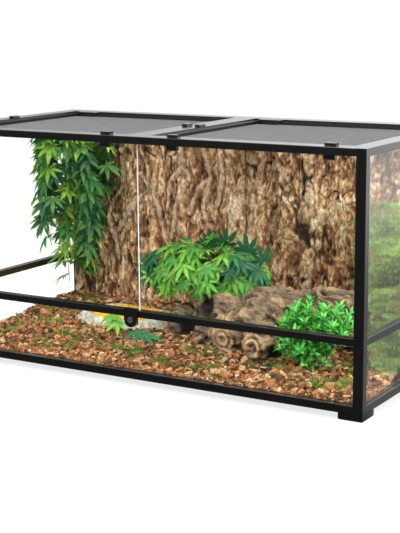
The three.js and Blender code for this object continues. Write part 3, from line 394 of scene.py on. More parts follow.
def driftwood():
    """The tint holds how deep the grooves are, darkened there as painted shade, the painted shadow in the hollows, and
    a shade along the grain.
    """
    look = Look("driftwood", Roughness=0.85)
    groove_shade, hollow_shadow, shade = look.tint_parts()
    base = look.ramp(shade, [
        (0.0, (0.035, 0.02, 0.01)), (0.38, (0.13, 0.078, 0.04)), (0.62, (0.26, 0.165, 0.09)),
        (1.0, (0.6, 0.39, 0.21)),
    ])
    base = look.multiplied(base, look.noise(190, 6, 0.7), [(0.3, 0.5), (0.5, 1.0), (0.7, 1.6)])
    grey = look.ramp(look.noise(18, 4, 0.6), [(0.45, 0.0), (0.7, 0.6)])
    base = look.mix(grey, base, (0.16, 0.125, 0.09))
    # Grooves darken: partly darker wood, partly painted shade.
    base = look.mix(look.ramp(groove_shade, [(0.1, 0.0), (1.0, 0.9)]), base, (0.03, 0.019, 0.012))
    # Hollows go near black as painted shadow.
    look.color(look.mix(hollow_shadow, base, (0.008, 0.005, 0.003)))
    look.bump(look.noise(380, 5, 0.65), 0.0018)
    return look.material


def moulded_rock(name, stops, rough):
    look = Look(name, Roughness=rough)
    look.color(look.ramp(look.noise(60, 6, 0.65), stops))
    look.bump(look.noise(160, 5), 0.0015)
    return look.material


BLACK = black_plastic()
GLASS = clear_glass("clear_glass")
# The left door's edge is pale frosted glass; the right door's edge is painted dark green as painted shade.
DOOR_GLASS = {
    "door_left": clear_glass("left_door_glass", (0.82, 0.9, 0.87)),
    "door_right": clear_glass("right_door_glass", (0.16, 0.19, 0.15)),
}
NICKEL = satin_nickel()
WIRE = mesh_wire()
BARK = bark_skin()
CHIP = chip_wood()
SOIL = soil()
MAT = moss_mat()
LEAF = leaf_skin("cloth_leaf", 0.42, 0.3)
FROND = leaf_skin("moulded_leaf", 0.25, 0.2)
MOSS = leaf_skin("moss_fibre", 0.7, 0.25)
WOOD = driftwood()
STONE_STOPS = [(0.3, (0.16, 0.15, 0.09)), (0.48, (0.46, 0.44, 0.33)), (0.66, (0.8, 0.77, 0.68))]
ROCK = moulded_rock("moulded_rock", STONE_STOPS, 0.7)
FOOD = moulded_rock("yellow_grit", [(0.3, (0.55, 0.3, 0.01)), (0.6, (0.85, 0.52, 0.02))], 0.8)

# ---- Frame, glass and hardware keep their own solids ----
for node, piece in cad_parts.items():
    if node.startswith(("lower_pane", "upper_pane", "pane_")):
        finish, edge = GLASS, 0.0004
    elif node in DOOR_GLASS:
        finish, edge = DOOR_GLASS[node], 0.0004
    elif node in ("lock_cylinder", "lock_bolt"):
        finish, edge = NICKEL, 0.0002
    else:
        finish, edge = BLACK, 0.0005
    piece.data.materials.clear()
    piece.data.materials.append(finish)
    rounding = piece.modifiers.new("edges", "BEVEL")
    rounding.width = edge
    rounding.segments = 2
    rounding.limit_method = "ANGLE"
    rounding.angle_limit = math.radians(40)
    rounding.harden_normals = False


# ---- Screens: woven wires ----
WIRE_PITCH = 0.002
WIRE_THICK = 0.00042
WIRE_SIDES = 4
WIRE_MARGIN = 0.001  # between the wires' ends and the edge of the mesh
INLET_DEPTH = 0.0155  # how far a cable inlet reaches into the mesh, with its frame
SHUTTER_PAST = 0.008  # how far a shutter reaches past its inlet


def straight_wires(x_range, y_range, z, inlet_x, inlet_y):
    """Two layers of wires that cross; those that meet the inlet stop at its edge."""
    lines = []
    lift = WIRE_THICK / 2
    for x in np.arange(*x_range, WIRE_PITCH):
        end = inlet_y if inlet_x[0] < x < inlet_x[1] else y_range[1]
        lines.append(((x, y_range[0], z + lift), (x, end, z + lift)))
    for y in np.arange(*y_range, WIRE_PITCH):
        start = inlet_x[1] if y > inlet_y else x_range[0]
        lines.append(((start, y, z - lift), (x_range[1], y, z - lift)))
    verts = []
    for start, end in lines:
        along_x = abs(end[0] - start[0]) > abs(end[1] - start[1])
        for x, y, height in (start, end):
            for side in range(WIRE_SIDES):
                a = TAU * (side + 0.5) / WIRE_SIDES
                across = math.cos(a) * WIRE_THICK / 2
                up = height + math.sin(a) * WIRE_THICK / 2
                verts.append((x, y + across, up) if along_x else (x + across, y, up))
    faces = ring_faces(2, WIRE_SIDES) + [(3, 2, 1, 0), (4, 5, 6, 7)]
    return verts, np.concatenate(copied_faces(faces, len(lines), 2 * WIRE_SIDES))


for side in ("left", "right"):
    low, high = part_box("screen_mesh_" + side)
    shutter_low, shutter_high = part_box("inlet_shutter_" + side)
    x_range, y_range = ((low[axis] + WIRE_MARGIN, high[axis] - WIRE_MARGIN) for axis in (0, 1))
    inlet_x = (low[0] - WIRE_MARGIN, shutter_high[0] - SHUTTER_PAST)
    z = (low[2] + high[2]) / 2
    verts, faces = straight_wires(x_range, y_range, z, inlet_x, high[1] - INLET_DEPTH)
    wires = make_object("screen_wires_" + side, verts, faces, WIRE, body=side + "_screen", slot="screen_wire")
    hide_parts("screen_mesh_" + side)

# ---- Bark wall ----
BARK_FACE_Y = 0.2668
BARK_RELIEF = 0.007
BARK_PITCH = 0.002
BARK_GAP = 0.0008  # to the panes and rails beside it
SEAM_X, SEAM_WIDTH, SEAM_DEPTH = -0.0035, 0.0018, 0.005
VEIN_WIDTH = 0.0068
# Raised veins that fork down the left half: points across and up.
VEINS = (
    (
        (-0.411, 0.5), (-0.409, 0.449), (-0.403, 0.397), (-0.447, 0.353), (-0.462, 0.311), (-0.449, 0.264),
        (-0.43, 0.183),
    ),
    ((-0.355, 0.371), (-0.391, 0.319), (-0.428, 0.266)),
    ((-0.225, 0.56), (-0.211, 0.511), (-0.205, 0.46), (-0.186, 0.439), (-0.227, 0.357), (-0.241, 0.258)),
    ((-0.303, 0.432), (-0.307, 0.391), (-0.281, 0.301), (-0.269, 0.244)),
    ((-0.15, 0.56), (-0.133, 0.492), (-0.121, 0.437), (-0.128, 0.392), (-0.141, 0.346), (-0.115, 0.291)),
    ((-0.082, 0.53), (-0.076, 0.434), (-0.095, 0.36)),
    ((-0.205, 0.46), (-0.245, 0.42), (-0.26, 0.34)),
    ((-0.121, 0.437), (-0.16, 0.4), (-0.186, 0.33)),
)
# Lighter and darker patches, the dark one low on the right painted shadow: across, up, their reach, and how much
# lighter.
PATCHES = (
    (0.07, 0.42, 0.035, 0.055, 0.2), (0.235, 0.37, 0.085, 0.05, 0.16), (0.138, 0.485, 0.05, 0.035, -0.2),
    (0.27, 0.2, 0.09, 0.055, -0.14), (0.0, 0.36, 0.02, 0.04, 0.12), (0.42, 0.36, 0.08, 0.09, 0.12),
    (-0.03, 0.48, 0.05, 0.05, -0.1),
)


def vein_height(x, z):
    """From 0 beside a vein to 1 on its crest, and the shade along its foot."""
    nearest = np.full(x.shape, 9.0)
    for vein in VEINS:
        for (x0, z0), (x1, z1) in zip(vein, vein[1:]):
            run = np.array((x1 - x0, z1 - z0))
            t = np.clip(((x - x0) * run[0] + (z - z0) * run[1]) / np.dot(run, run), 0, 1)
            nearest = np.minimum(nearest, np.hypot(x - x0 - t * run[0], z - z0 - t * run[1]))
    return np.clip(1.2 - nearest / VEIN_WIDTH, 0, 1), np.exp(-(((nearest - 0.0125) / 0.0035) ** 2))


def bark_ridges(x, z):
    """The wall's main upright ridges, from -1 to 1."""
    wander = 0.009 * np.sin(z / 0.071) + 0.005 * np.sin(z / 0.029 + x / 0.09)
    return (np.sin((x + wander) / 0.0135) + 0.6 * np.sin((x - wander) / 0.031 + z / 0.16)) / 1.6


def bark_surface(x, z):
    """Relief towards the viewer in metres, with the darkness of the cracks as painted shade, and the vein and shade of
    each point.
    """
    flat = np.stack([x, z], axis=-1)
    wander = layered(flat / [0.05, 0.09], 3, seed=3) * 0.013
    dip = layered(flat / [0.04, 0.07], 2, seed=9) * 0.02
    bent = np.stack([x + wander, z + dip], axis=-1)
    main = bark_ridges(x, z)
    broad = 1 - np.abs(layered(bent / [0.036, 0.13], 3, seed=1))
    narrow = 1 - np.abs(layered(bent / [0.013, 0.045], 3, seed=2))
    swell = layered(flat / [0.09, 0.2], 2, seed=21)
    # Splits between the plates.
    splits = np.abs(smooth_noise(bent / [0.017, 0.075], seed=5))
    broken = ramp(layered(flat / [0.022, 0.035], 2, seed=6), -0.05, 0.45)
    split = (1 - ramp(splits, 0.0, 0.16)) * broken
    # Faint veins everywhere on the left, and the ones that stand out.
    path = smooth_noise(bent / [0.16, 0.6], seed=31)
    fork = smooth_noise(np.stack([(bent[..., 0] - 0.42 * z) / 0.19, bent[..., 1] / 0.7], axis=-1), seed=37)
    vein = np.maximum(1 - np.abs(path) / 0.05, 0.9 * (1 - np.abs(fork) / 0.04))
    vein = 0.6 * np.clip(vein, 0, 1) * np.clip(0.5 + 0.9 * layered(flat / [0.035, 0.06], 2, seed=41), 0, 1)
    vein = vein * ramp(0.12 - x, -0.1, 0.1)
    jitter = layered(flat / 0.012, 2, seed=43) * 0.003
    shown, foot = vein_height(x + jitter + wander * 0.2, z)
    vein = np.maximum(vein * (1 - foot), shown * np.clip(0.95 + 0.4 * layered(flat / 0.02, 2, seed=45), 0.5, 1))
    # Flakes and crumbs: drawn out on the left, round on the right.
    crumbly = ramp(x, -0.34, -0.02) * 0.75 + ramp(x, -0.02, 0.1) * 0.25
    drawn = layered(bent / [0.008, 0.02], 3, seed=51)
    flaky = layered(flat / [0.0105, 0.0135], 4, seed=55, gain=0.62)
    rough = drawn * (1 - crumbly) + flaky * crumbly
    crumbs = layered(flat / [0.0042, 0.0075], 2, seed=53)
    relief = BARK_RELIEF * (main - 1 / 3) + 0.002 * swell
    relief = relief + (0.003 - 0.002 * crumbly) * (broad - 0.6) + 0.0035 * (narrow - 0.6)
    relief = relief - 0.006 * split * (1 - vein) + 0.005 * vein - 0.002 * foot + 0.0028 * rough + 0.0012 * crumbs
    # Splits, low ground between ridges and the foot of each vein go dark: partly real crevices, partly painted shade.
    low = np.clip(0.45 - broad, 0, 1) * (0.8 - 0.5 * crumbly) + np.clip(0.42 - narrow, 0, 1)
    crack_shade = np.clip(split + low, 0, 1) * (1 - 0.85 * vein)
    crack_shade = np.maximum(crack_shade, 0.75 * foot * np.clip(0.6 + 0.9 * rough, 0, 1))
    shadow = ramp(x, 0.1, 0.5) * ramp(0.3 - z, 0.0, 0.12)
    # Raised ridges and swells are paler: partly the bark's own paler ridges, partly a painted highlight.
    tone = 0.49 + 0.11 * main + 0.14 * swell + 0.3 * (narrow - 0.6) + (0.27 - 0.12 * crumbly) * (broad - 0.6)
    tone = tone + 0.36 * rough + 0.17 * crumbs - 0.14 * shadow + 0.04 * ramp(x, -0.05, 0.15)
    for across, high, reach, rise, lighter in PATCHES:
        tone = tone + lighter * np.exp(-(((x - across) / reach) ** 2) - ((z - high) / rise) ** 2)
    return relief, crack_shade, vein, np.clip(tone, 0, 1)


def bark_wall():
    """The wall's face, folded back to its rear along its edges and round the side rails and posts."""
    low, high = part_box("bark_background")
    half = high[0] - BARK_GAP
    rail_low, rail_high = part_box("mid_rail_left")
    xs = np.arange(-half, half + BARK_PITCH / 2, BARK_PITCH)
    zs = np.arange(low[2], high[2], BARK_PITCH)
    x, z = np.meshgrid(xs, zs)
    relief, crack_shade, vein, tone = bark_surface(x, z)
    seam = np.exp(-(((x - SEAM_X) / SEAM_WIDTH) ** 2))
    crack_shade = np.maximum(crack_shade, 0.9 * seam)
    y = BARK_FACE_Y - (relief - SEAM_DEPTH * seam)
    y[:, 0] = y[:, -1] = y[0, :] = y[-1, :] = high[1]
    beside_rail = (z > rail_low[2] - BARK_PITCH) & (z < rail_high[2] + BARK_PITCH)
    beside_rail &= np.abs(x) > -rail_high[0] - BARK_GAP
    beside_post = (np.abs(x) > 0.5845) & (z < 0.2085)
    y[beside_rail | beside_post] = high[1]
    verts = np.stack([x, y, z], axis=-1).reshape(-1, 3)
    colors = np.stack([crack_shade, vein, tone], axis=-1).reshape(-1, 3)
    faces = grid_faces(*x.shape)
    wall = make_object("bark_wall", verts, faces, BARK, slot="bark", colors=colors, smooth=True)
    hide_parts("bark_background")


bark_wall()

# ---- Ground ----
(_, BED_FRONT, BED_LOW), (BED_HALF, BED_BACK, _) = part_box("bedding")
BANK_REACH = 0.341
BANK_RISE = 0.332
BANK_SIDE = ((0.5433, BED_BACK - BANK_REACH), (0.3423, BED_BACK))  # where its steep side starts and ends
BANK_ROWS = 90
BANK_COLUMNS = 60
BANK_END_ROWS = 24  # down its end at the right pane
STEEP_SHARE = 0.3  # of the columns that climb the steep side


def bank_height(x, y):
    """How high the mossy bank in the back right corner stands above the ground."""
    t = ramp(y, BED_BACK - BANK_REACH, BED_BACK)
    (x0, y0), (x1, y1) = BANK_SIDE
    beside = x - (x0 + (x1 - x0) * (y - y0) / (y1 - y0))
    return BANK_RISE * t * ramp(beside, -0.004, 0.022)


def ground_height(x, y):
    t = ramp(y, BED_FRONT, BED_BACK)
    slope = 0.013 + 0.034 * t
    bumps = 0.002 * (np.sin(x / 0.043) * np.cos(y / 0.037) + np.sin(x / 0.097 + y / 0.061))
    return BED_LOW + slope + bumps


def off_bank(x, y):
    return bank_height(x, y) < 0.03


def scatter(count, seed, keep=off_bank, margin=0.004):
    """Random places on the ground; keep says which of them stay."""
    rng = np.random.default_rng(seed)
    x = rng.uniform(-BED_HALF + margin, BED_HALF - margin, count)
    y = rng.uniform(BED_FRONT + margin, BED_BACK - margin, count)
    stays = keep(x, y)
    return x[stays], y[stays], rng


def turned_frames(yaw, tilt, roll):
    """Rotation matrices from a heading, a tilt away from level and a roll."""
    cy, sy = np.cos(yaw), np.sin(yaw)
    ct, st = np.cos(tilt), np.sin(tilt)
    cr, sr = np.cos(roll), np.sin(roll)
    zero, one = np.zeros_like(yaw), np.ones_like(yaw)
    rz = np.stack([cy, -sy, zero, sy, cy, zero, zero, zero, one], axis=-1).reshape(-1, 3, 3)
    ry = np.stack([ct, zero, st, zero, one, zero, -st, zero, ct], axis=-1).reshape(-1, 3, 3)
    rx = np.stack([one, zero, zero, zero, cr, -sr, zero, sr, cr], axis=-1).reshape(-1, 3, 3)
    return rz @ ry @ rx


CHIP_COLORS = np.array([
    (0.46, 0.165, 0.045), (0.33, 0.11, 0.028), (0.58, 0.26, 0.095), (0.2, 0.07, 0.018),
    (0.64, 0.35, 0.16), (0.09, 0.033, 0.011), (0.42, 0.19, 0.05), (0.74, 0.48, 0.26),
])
CHIP_SIDES = 6
CHIP_CAPS = [(3, 2, 1, 0), (5, 4, 3, 0), (6, 7, 8, 9), (6, 9, 10, 11)]


def bark_chips(name, count, size_range, seed, lift, keep=off_bank, at_glass=False):
    """Flat six-sided chips that lie on the ground, or stand in a layer against the panes."""
    x, y, rng = scatter(count, seed, keep, 0.006)
    n = len(x)
    length = rng.uniform(*size_range, n) * rng.uniform(0.7, 1.25, n)
    width = length * rng.uniform(0.4, 0.75, n)
    thick = length * rng.uniform(0.14, 0.3, n)
    angles = TAU * np.arange(CHIP_SIDES) / CHIP_SIDES
    spread = 1 + rng.uniform(-0.3, 0.25, (n, CHIP_SIDES))
    ring = np.stack([np.cos(angles) * spread, np.sin(angles) * spread], axis=-1)
    verts = np.zeros((n, 2 * CHIP_SIDES, 3))
    verts[:, :CHIP_SIDES, :2] = ring * 0.92
    verts[:, CHIP_SIDES:, :2] = ring * rng.uniform(0.62, 0.95, (n, 1, 1))
    verts[:, :CHIP_SIDES, 2] = -0.5 + rng.uniform(-0.15, 0.15, (n, CHIP_SIDES))
    verts[:, CHIP_SIDES:, 2] = 0.5 + rng.uniform(-0.2, 0.2, (n, CHIP_SIDES))
    verts *= np.stack([length / 2, width / 2, thick], axis=-1)[:, None, :]
    frames = turned_frames(rng.uniform(0, TAU, n), rng.normal(0, 0.38, n), rng.normal(0, 0.45, n))
    verts = np.einsum("nij,nkj->nki", frames, verts)
    z = ground_height(x, y) + lift * rng.uniform(-0.6, 1.0, n)
    if at_glass:
        along_front = rng.uniform(0, 1, n) < 0.6
        y = np.where(along_front, BED_FRONT + 0.003, y)
        x = np.where(along_front, x, np.sign(x) * (BED_HALF - 0.003))
        z = rng.uniform(BED_LOW + 0.004, ground_height(x, y) + 0.003)
    verts += np.stack([x, y, z], axis=-1)[:, None, :]
    low = (-BED_HALF, BED_FRONT, BED_LOW + 0.0005)
    verts = np.clip(verts, low, (BED_HALF, BED_BACK + 0.002, np.inf)).reshape(-1, 3)
    faces = np.concatenate(copied_faces(ring_faces(2, CHIP_SIDES) + CHIP_CAPS, n, 2 * CHIP_SIDES))
    color = CHIP_COLORS[rng.integers(0, len(CHIP_COLORS), n)] * rng.uniform(0.5, 1.15, (n, 1))
    colors = np.clip(np.repeat(color, 2 * CHIP_SIDES, axis=0), 0, 0.9)
    make_object(name, verts, faces, CHIP, slot="bark_chips", colors=colors)


def ground_bed():
    xs = np.linspace(-BED_HALF, BED_HALF, 235)
    ys = np.linspace(BED_FRONT, BED_BACK, 110)
    x, y = np.meshgrid(xs, ys)
    z = ground_height(x, y) - 0.003 + 0.002 * layered(np.stack([x, y], axis=-1) / 0.02, 3, seed=61)
    z[0, :] = z[-1, :] = BED_LOW
    z[:, 0] = z[:, -1] = BED_LOW
    verts = np.stack([x, y, z], axis=-1).reshape(-1, 3)
    bed = make_object("ground_bed", verts, grid_faces(*x.shape), SOIL, slot="bark_chips", smooth=True)
    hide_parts("bedding")


ground_bed()
bark_chips("chips_small", 9000, (0.006, 0.012), 5, 0.004)
bark_chips("chips_large", 5200, (0.011, 0.024), 7, 0.006)
bark_chips("chips_broad", 900, (0.02, 0.034), 9, 0.009, keep=lambda x, y: (y < -0.08) & off_bank(x, y))
bark_chips("chips_at_glass", 3400, (0.008, 0.018), 13, 0.004, at_glass=True)


def moss_bank():
    """The bank's body: rows of points up its steep side, along its top and down its end at the pane."""
    (x0, y0), (x1, y1) = BANK_SIDE
    verts = []
    for t in np.linspace(0, 1, BANK_ROWS):
        y = y0 + (BED_BACK - y0) * t
        side = x0 + (x1 - x0) * t
        top = ground_height(0.5, y) + BANK_RISE * ramp(y, y0, BED_BACK)
        for s in np.linspace(0, 1, BANK_COLUMNS):
            x = side + (BED_HALF - side) * max(0.0, (s - STEEP_SHARE) / (1 - STEEP_SHARE))
            verts.append((x, y, BED_LOW + (top - BED_LOW) * min(1.0, s / STEEP_SHARE)))
        edge = top - 0.006
        verts += [(BED_HALF, y, edge + (BED_LOW - edge) * share) for share in np.linspace(0.06, 1.0, BANK_END_ROWS)]
    verts = np.array(verts)
    lumps = layered(verts / 0.045, 3, seed=65)
    fine = layered(verts / 0.012, 2, seed=66)
    lift = np.clip((verts[:, 2] - BED_LOW) / 0.05, 0, 1)
    inner = ramp(BED_HALF - verts[:, 0], 0.0, 0.02) * ramp(BED_BACK - verts[:, 1], 0.0, 0.02)
    verts[:, 2] += (0.008 * lumps + 0.003 * fine) * lift * inner - 0.006 * (1 - inner) * lift
    verts[:, 0] += 0.01 * lumps * inner * ramp(0.03 - (verts[:, 0] - x1), -0.2, 0.03)
    at_pane = verts[:, 0] > BED_HALF - 1e-6
    verts[at_pane, 0] -= 0.004 + 0.003 * lumps[at_pane]
    faces = grid_faces(BANK_ROWS, BANK_COLUMNS + BANK_END_ROWS)
    make_object("moss_bank", verts, faces, MAT, slot="bark_chips", smooth=True)
    return verts


BANK_POINTS = moss_bank()

# ---- Moss tufts ----
BLADE_SIDES = 3
BLADE_POINTS = 2 * BLADE_SIDES + 1


def moss_blades(name, centres, per_tuft, seed, colors, patch=None):
    """Little curved spikes that lean out of each tuft's middle; a centre is x, y, z, radius, height.

    A patch is the size of lighter, darker and straw-coloured patches."""
    rng = np.random.default_rng(seed)
    verts = []
    tints = []
    for cx, cy, cz, radius, height in centres:
        count = int(per_tuft * (radius / 0.02) ** 1.6)
        angle = rng.uniform(0, TAU, count)
        away = np.sqrt(rng.uniform(0, 1, count)) * radius
        root = np.stack([cx + away * np.cos(angle), cy + away * np.sin(angle), np.zeros(count)], axis=-1)
        root[:, 2] = cz(root[:, 0], root[:, 1]) if callable(cz) else cz
        lean = np.stack([np.cos(angle), np.sin(angle)], axis=-1) * (away / radius)[:, None] * 0.6
        lean += rng.normal(0, 0.45, (count, 2))
        tall = height * rng.uniform(0.45, 1.1, count) * (1 - 0.55 * (away / radius) ** 2)
        heading = np.concatenate([lean, np.ones((count, 1))], axis=1)
        heading *= (tall / np.linalg.norm(heading, axis=1))[:, None]
        middle = root + heading * 0.5 + rng.normal(0, 0.12, (count, 3)) * tall[:, None]
        thick = rng.uniform(0.0005, 0.001, count)[:, None]
        blade = []
        for at, share in ((root, 1.0), (middle, 0.75)):
            for side in range(BLADE_SIDES):
                a = TAU * side / BLADE_SIDES + angle
                offset = np.stack([np.cos(a), np.sin(a), np.zeros(count)], axis=-1)
                blade.append(at + offset * thick * share)
        blade.append(root + heading)
        verts.append(np.stack(blade, axis=1))
        own = np.array(colors)[rng.integers(0, len(colors), count)] * rng.uniform(0.6, 1.25, (count, 1))
        own = own * rng.uniform(0.5, 1.3)
        if patch:
            spot = np.array((cx, cy, cz)) / patch
            own = own * (0.95 + layered(spot, 3, seed=83))
            straw = ramp(layered(spot * 0.6 + 9, 2, seed=84), 0.3, 0.8)
            own = own * (1 - straw) + np.array(STRAW) * rng.uniform(0.5, 1.3, (count, 1)) * straw
        tints.append(np.repeat(own, BLADE_POINTS, axis=0))
    verts = np.concatenate(verts)
    count = len(verts)
    verts = np.clip(verts, (-BED_HALF, BED_FRONT, -np.inf), (BED_HALF, BED_BACK, np.inf)).reshape(-1, 3)
    tips = [(3 + side, 3 + (side + 1) % 3, 6) for side in range(BLADE_SIDES)]
    blocks = copied_faces(ring_faces(2, BLADE_SIDES) + tips + [(2, 1, 0)], count, BLADE_POINTS)
    faces = [tuple(row) for block in blocks for row in block]
    make_object(name, verts, faces, MOSS, slot="fern_leaf", colors=np.clip(np.concatenate(tints), 0, 1))


STRAW = (0.7, 0.55, 0.16)
BANK_GREENS = [
    (0.5, 0.72, 0.1), (0.68, 0.85, 0.18), (0.26, 0.62, 0.12), (0.85, 0.9, 0.3), (0.2, 0.62, 0.24), (0.75, 0.7, 0.2),
]
MOSS_GREENS = [(0.22, 0.36, 0.035), (0.34, 0.44, 0.045), (0.1, 0.32, 0.035), (0.42, 0.46, 0.06), (0.07, 0.38, 0.05)]
DRY_GREENS = [(0.34, 0.27, 0.045), (0.42, 0.36, 0.06), (0.2, 0.21, 0.03), (0.46, 0.34, 0.1)]
# Tufts that stand out by themselves: x, y, radius, height.
SHOWN_TUFTS = [
    (-0.33, -0.12, 0.028, 0.022), (-0.262, -0.205, 0.022, 0.016), (-0.2, -0.16, 0.025, 0.015),
    (-0.43, -0.05, 0.026, 0.018), (-0.08, -0.17, 0.03, 0.02), (0.01, -0.2, 0.026, 0.018),
    (0.16, -0.2, 0.026, 0.016), (0.34, -0.22, 0.024, 0.016), (0.45, -0.2, 0.03, 0.026),
    (0.3, -0.13, 0.03, 0.024), (0.52, -0.19, 0.03, 0.03), (-0.5, -0.15, 0.028, 0.018),
]


def moss_places(count, seed, radius, height):
    x, y, rng = scatter(count, seed, margin=0.03)
    return [(a, b, ground_height, rng.uniform(*radius), rng.uniform(*height)) for a, b in zip(x, y)]


def bank_places():
    """Tufts all over the bank's top and side, and against the right pane."""
    rng = np.random.default_rng(79)
    places = []
    for x, y, z in BANK_POINTS[rng.integers(0, len(BANK_POINTS), 900)]:
        if z >= ground_height(x, y) + 0.01 and x <= BED_HALF - 0.008 and y <= BED_BACK - 0.006:
            places.append((x, y, z - 0.003, rng.uniform(0.014, 0.03), rng.uniform(0.012, 0.03)))
    for _ in range(420):
        y = BED_BACK - 0.006 - (BANK_REACH - 0.01) * rng.uniform() ** 1.4
        crest = bank_height(BED_HALF, y) + ground_height(BED_HALF, y)
        z = BED_LOW + 0.01 + max(crest - BED_LOW - 0.02, 0) * rng.uniform()
        places.append((BED_HALF - 0.005, y, z, rng.uniform(0.012, 0.024), rng.uniform(0.012, 0.026)))
    return places


shown = [(x, y, ground_height, radius, height) for x, y, radius, height in SHOWN_TUFTS]
moss_blades("bank_moss", bank_places(), 62, 81, BANK_GREENS, patch=0.045)
moss_blades("moss_tufts", shown + moss_places(110, 71, (0.012, 0.026), (0.012, 0.022)), 130, 73, MOSS_GREENS)
moss_blades("dry_moss", moss_places(150, 75, (0.014, 0.032), (0.01, 0.017)), 60, 77, DRY_GREENS)


# ---- Leaves ----
def unit(v):
    return v / np.linalg.norm(v)


LEAFLET_SHAPE = ((0.0, 0.1), (0.18, 0.5), (0.38, 0.95), (0.55, 1.0), (0.75, 0.62), (0.9, 0.25))


def leaflet(heap, base, ahead, up, length, width, droop, color):
    """A pointed leaflet folded along its midrib; it bends down towards its tip."""
    side = unit(np.cross(ahead, up))
    verts = []
    for share, wide in LEAFLET_SHAPE:
        bend = -droop * share**1.8 * length
        spine = base + ahead * share * length + up * bend
        edge = side * width * wide / 2
        rise = up * width * wide * 0.16
        verts += [spine - edge + rise, spine, spine + edge + rise]
    verts.append(base + ahead * length * 0.99 + up * (-droop * length * 1.02))
    faces = []
    rows = len(LEAFLET_SHAPE)
    for row in range(rows - 1):
        a = 3 * row
        faces += [(a, a + 1, a + 4, a + 3), (a + 1, a + 2, a + 5, a + 4)]
    last = 3 * (rows - 1)
    tip = 3 * rows
    faces += [(last, last + 1, tip), (last + 1, last + 2, tip)]
    shades = np.ones((len(verts), 1))
    shades[1::3] = 1.25
    heap.add(verts, faces, np.clip(np.asarray(color) * shades, 0, 1))


def hand_leaf(heap, base, ahead, up, size, color, rng, fingers=7):
    """A leaf of pointed fingers that fan out from its stalk."""
    side = unit(np.cross(ahead, up))
    up = unit(np.cross(side, ahead))
    spread = math.radians(118)
    for i in range(fingers):
        t = i / (fingers - 1) * 2 - 1
        angle = spread * t + rng.normal(0, 0.05)
        heading = unit(ahead * math.cos(angle) + side * math.sin(angle) + up * rng.normal(0.02, 0.08))
        length = size * (1 - 0.48 * abs(t) ** 1.5) * rng.uniform(0.9, 1.08)
        leaflet(heap, base, heading, up, length, length * 0.26, rng.uniform(0.1, 0.3), color)


def tube(heap, points, radius, color, sides=5):
    points = [np.asarray(p, dtype=float) for p in points]
    verts = []
    for i, point in enumerate(points):
        run = unit(points[min(i + 1, len(points) - 1)] - points[max(i - 1, 0)])
        across = np.cross(run, (0, 0, 1.0))
        across = unit(across) if np.linalg.norm(across) > 1e-3 else np.array((1.0, 0, 0))
        other = np.cross(run, across)
        size = radius * (1 - 0.4 * i / max(1, len(points) - 1))
        for s in range(sides):
            a = TAU * s / sides
            verts.append(point + (across * math.cos(a) + other * math.sin(a)) * size)
    ends = [tuple(reversed(range(sides))), tuple(range(len(verts) - sides, len(verts)))]
    heap.add(verts, ring_faces(len(points), sides) + ends, color)


VINE_GREENS = [
    (0.05, 0.2, 0.07), (0.075, 0.28, 0.07), (0.3, 0.6, 0.08), (0.5, 0.78, 0.12), (0.035, 0.16, 0.07),
    (0.13, 0.36, 0.08),
]
VINE_PALE = (2, 4)  # from and up to which of the greens
VINE_DARK = (0, 1, 4, 5)
VINE_STRANDS = (
    {"at": (-0.53, 0.1), "radius": 0.042, "high": 0.58, "low": 0.185, "stems": 10, "step": 0.024, "drift": 0.0},
    {"at": (-0.466, 0.186), "radius": 0.064, "high": 0.58, "low": 0.075, "stems": 13, "step": 0.023, "drift": -0.062},
)
STEM_STEP = 0.02


def vine():
    rng = np.random.default_rng(11)
    heap = Heap()
    for strand in VINE_STRANDS:
        at = np.array(strand["at"])
        tall = strand["high"] - strand["low"]
        for stem in range(strand["stems"]):
            phase = TAU * stem / strand["stems"] + rng.uniform(0, 0.6)
            low = strand["low"] + (rng.uniform(0.0, 0.42) * tall if stem else 0)
            points = []
            z = strand["high"]
            while z > low + 0.03:
                drop = strand["high"] - z
                narrowing = 1 - 0.55 * drop / tall
                reach = strand["radius"] * narrowing * (0.62 + 0.3 * math.sin(drop / 0.09 + phase))
                heading = phase + 0.9 * math.sin(drop / 0.2 + phase)
                x = at[0] + reach * math.cos(heading) + strand["drift"] * drop / tall
                points.append(np.array((x, at[1] + reach * math.sin(heading), z)))
                z -= STEM_STEP
            tube(heap, points, 0.0016, (0.1, 0.24, 0.05))
            bright = rng.uniform(0, 1)
            place = 0.0
            turn_leaf = rng.uniform(0, TAU)
            while place < (len(points) - 1) * STEM_STEP:
                at_point = points[int(place / STEM_STEP)]
                turn_leaf += 2.4 + rng.normal(0, 0.3)
                away = at_point[:2] - at - (strand["drift"] * (strand["high"] - at_point[2]) / tall, 0)
                out = np.array((math.cos(turn_leaf) * 0.8, math.sin(turn_leaf) * 0.8, 0))
                out[:2] += away / (np.linalg.norm(away) + 1e-6)
                out = unit(out)
                base = at_point + unit(out + np.array((0, 0, rng.uniform(-0.1, 0.4)))) * rng.uniform(0.01, 0.02)
                tube(heap, [at_point, base], 0.0009, (0.1, 0.24, 0.05), 4)
                ahead = unit(out * rng.uniform(0.4, 1.1) + np.array((rng.normal(0, 0.25), rng.normal(0, 0.25), -0.75)))
                up = unit(out + np.array((0, 0, 0.45)))
                size = rng.uniform(0.044, 0.066)
                on_right = away[0] > 0.012 and strand["drift"] and base[2] > 0.2
                on_left = away[0] < 0 and strand["drift"]
                pale = rng.uniform(0, 1) < (0.08 if on_right else 0.75 if on_left else 0.25 + 0.4 * bright)
                color = np.array(VINE_GREENS[rng.integers(*VINE_PALE) if pale else rng.choice(VINE_DARK)])
                hand_leaf(heap, base, ahead, up, size, color * rng.uniform(0.8, 1.15), rng)
                place += strand["step"] * rng.uniform(0.8, 1.25)
    low, high = (-0.5965, -np.inf, -np.inf), (np.inf, 0.2595, 0.5865)
    piece = heap.build("hanging_vine", LEAF, low, high, slot="vine_leaf", smooth=True)
    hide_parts("vine")


vine()

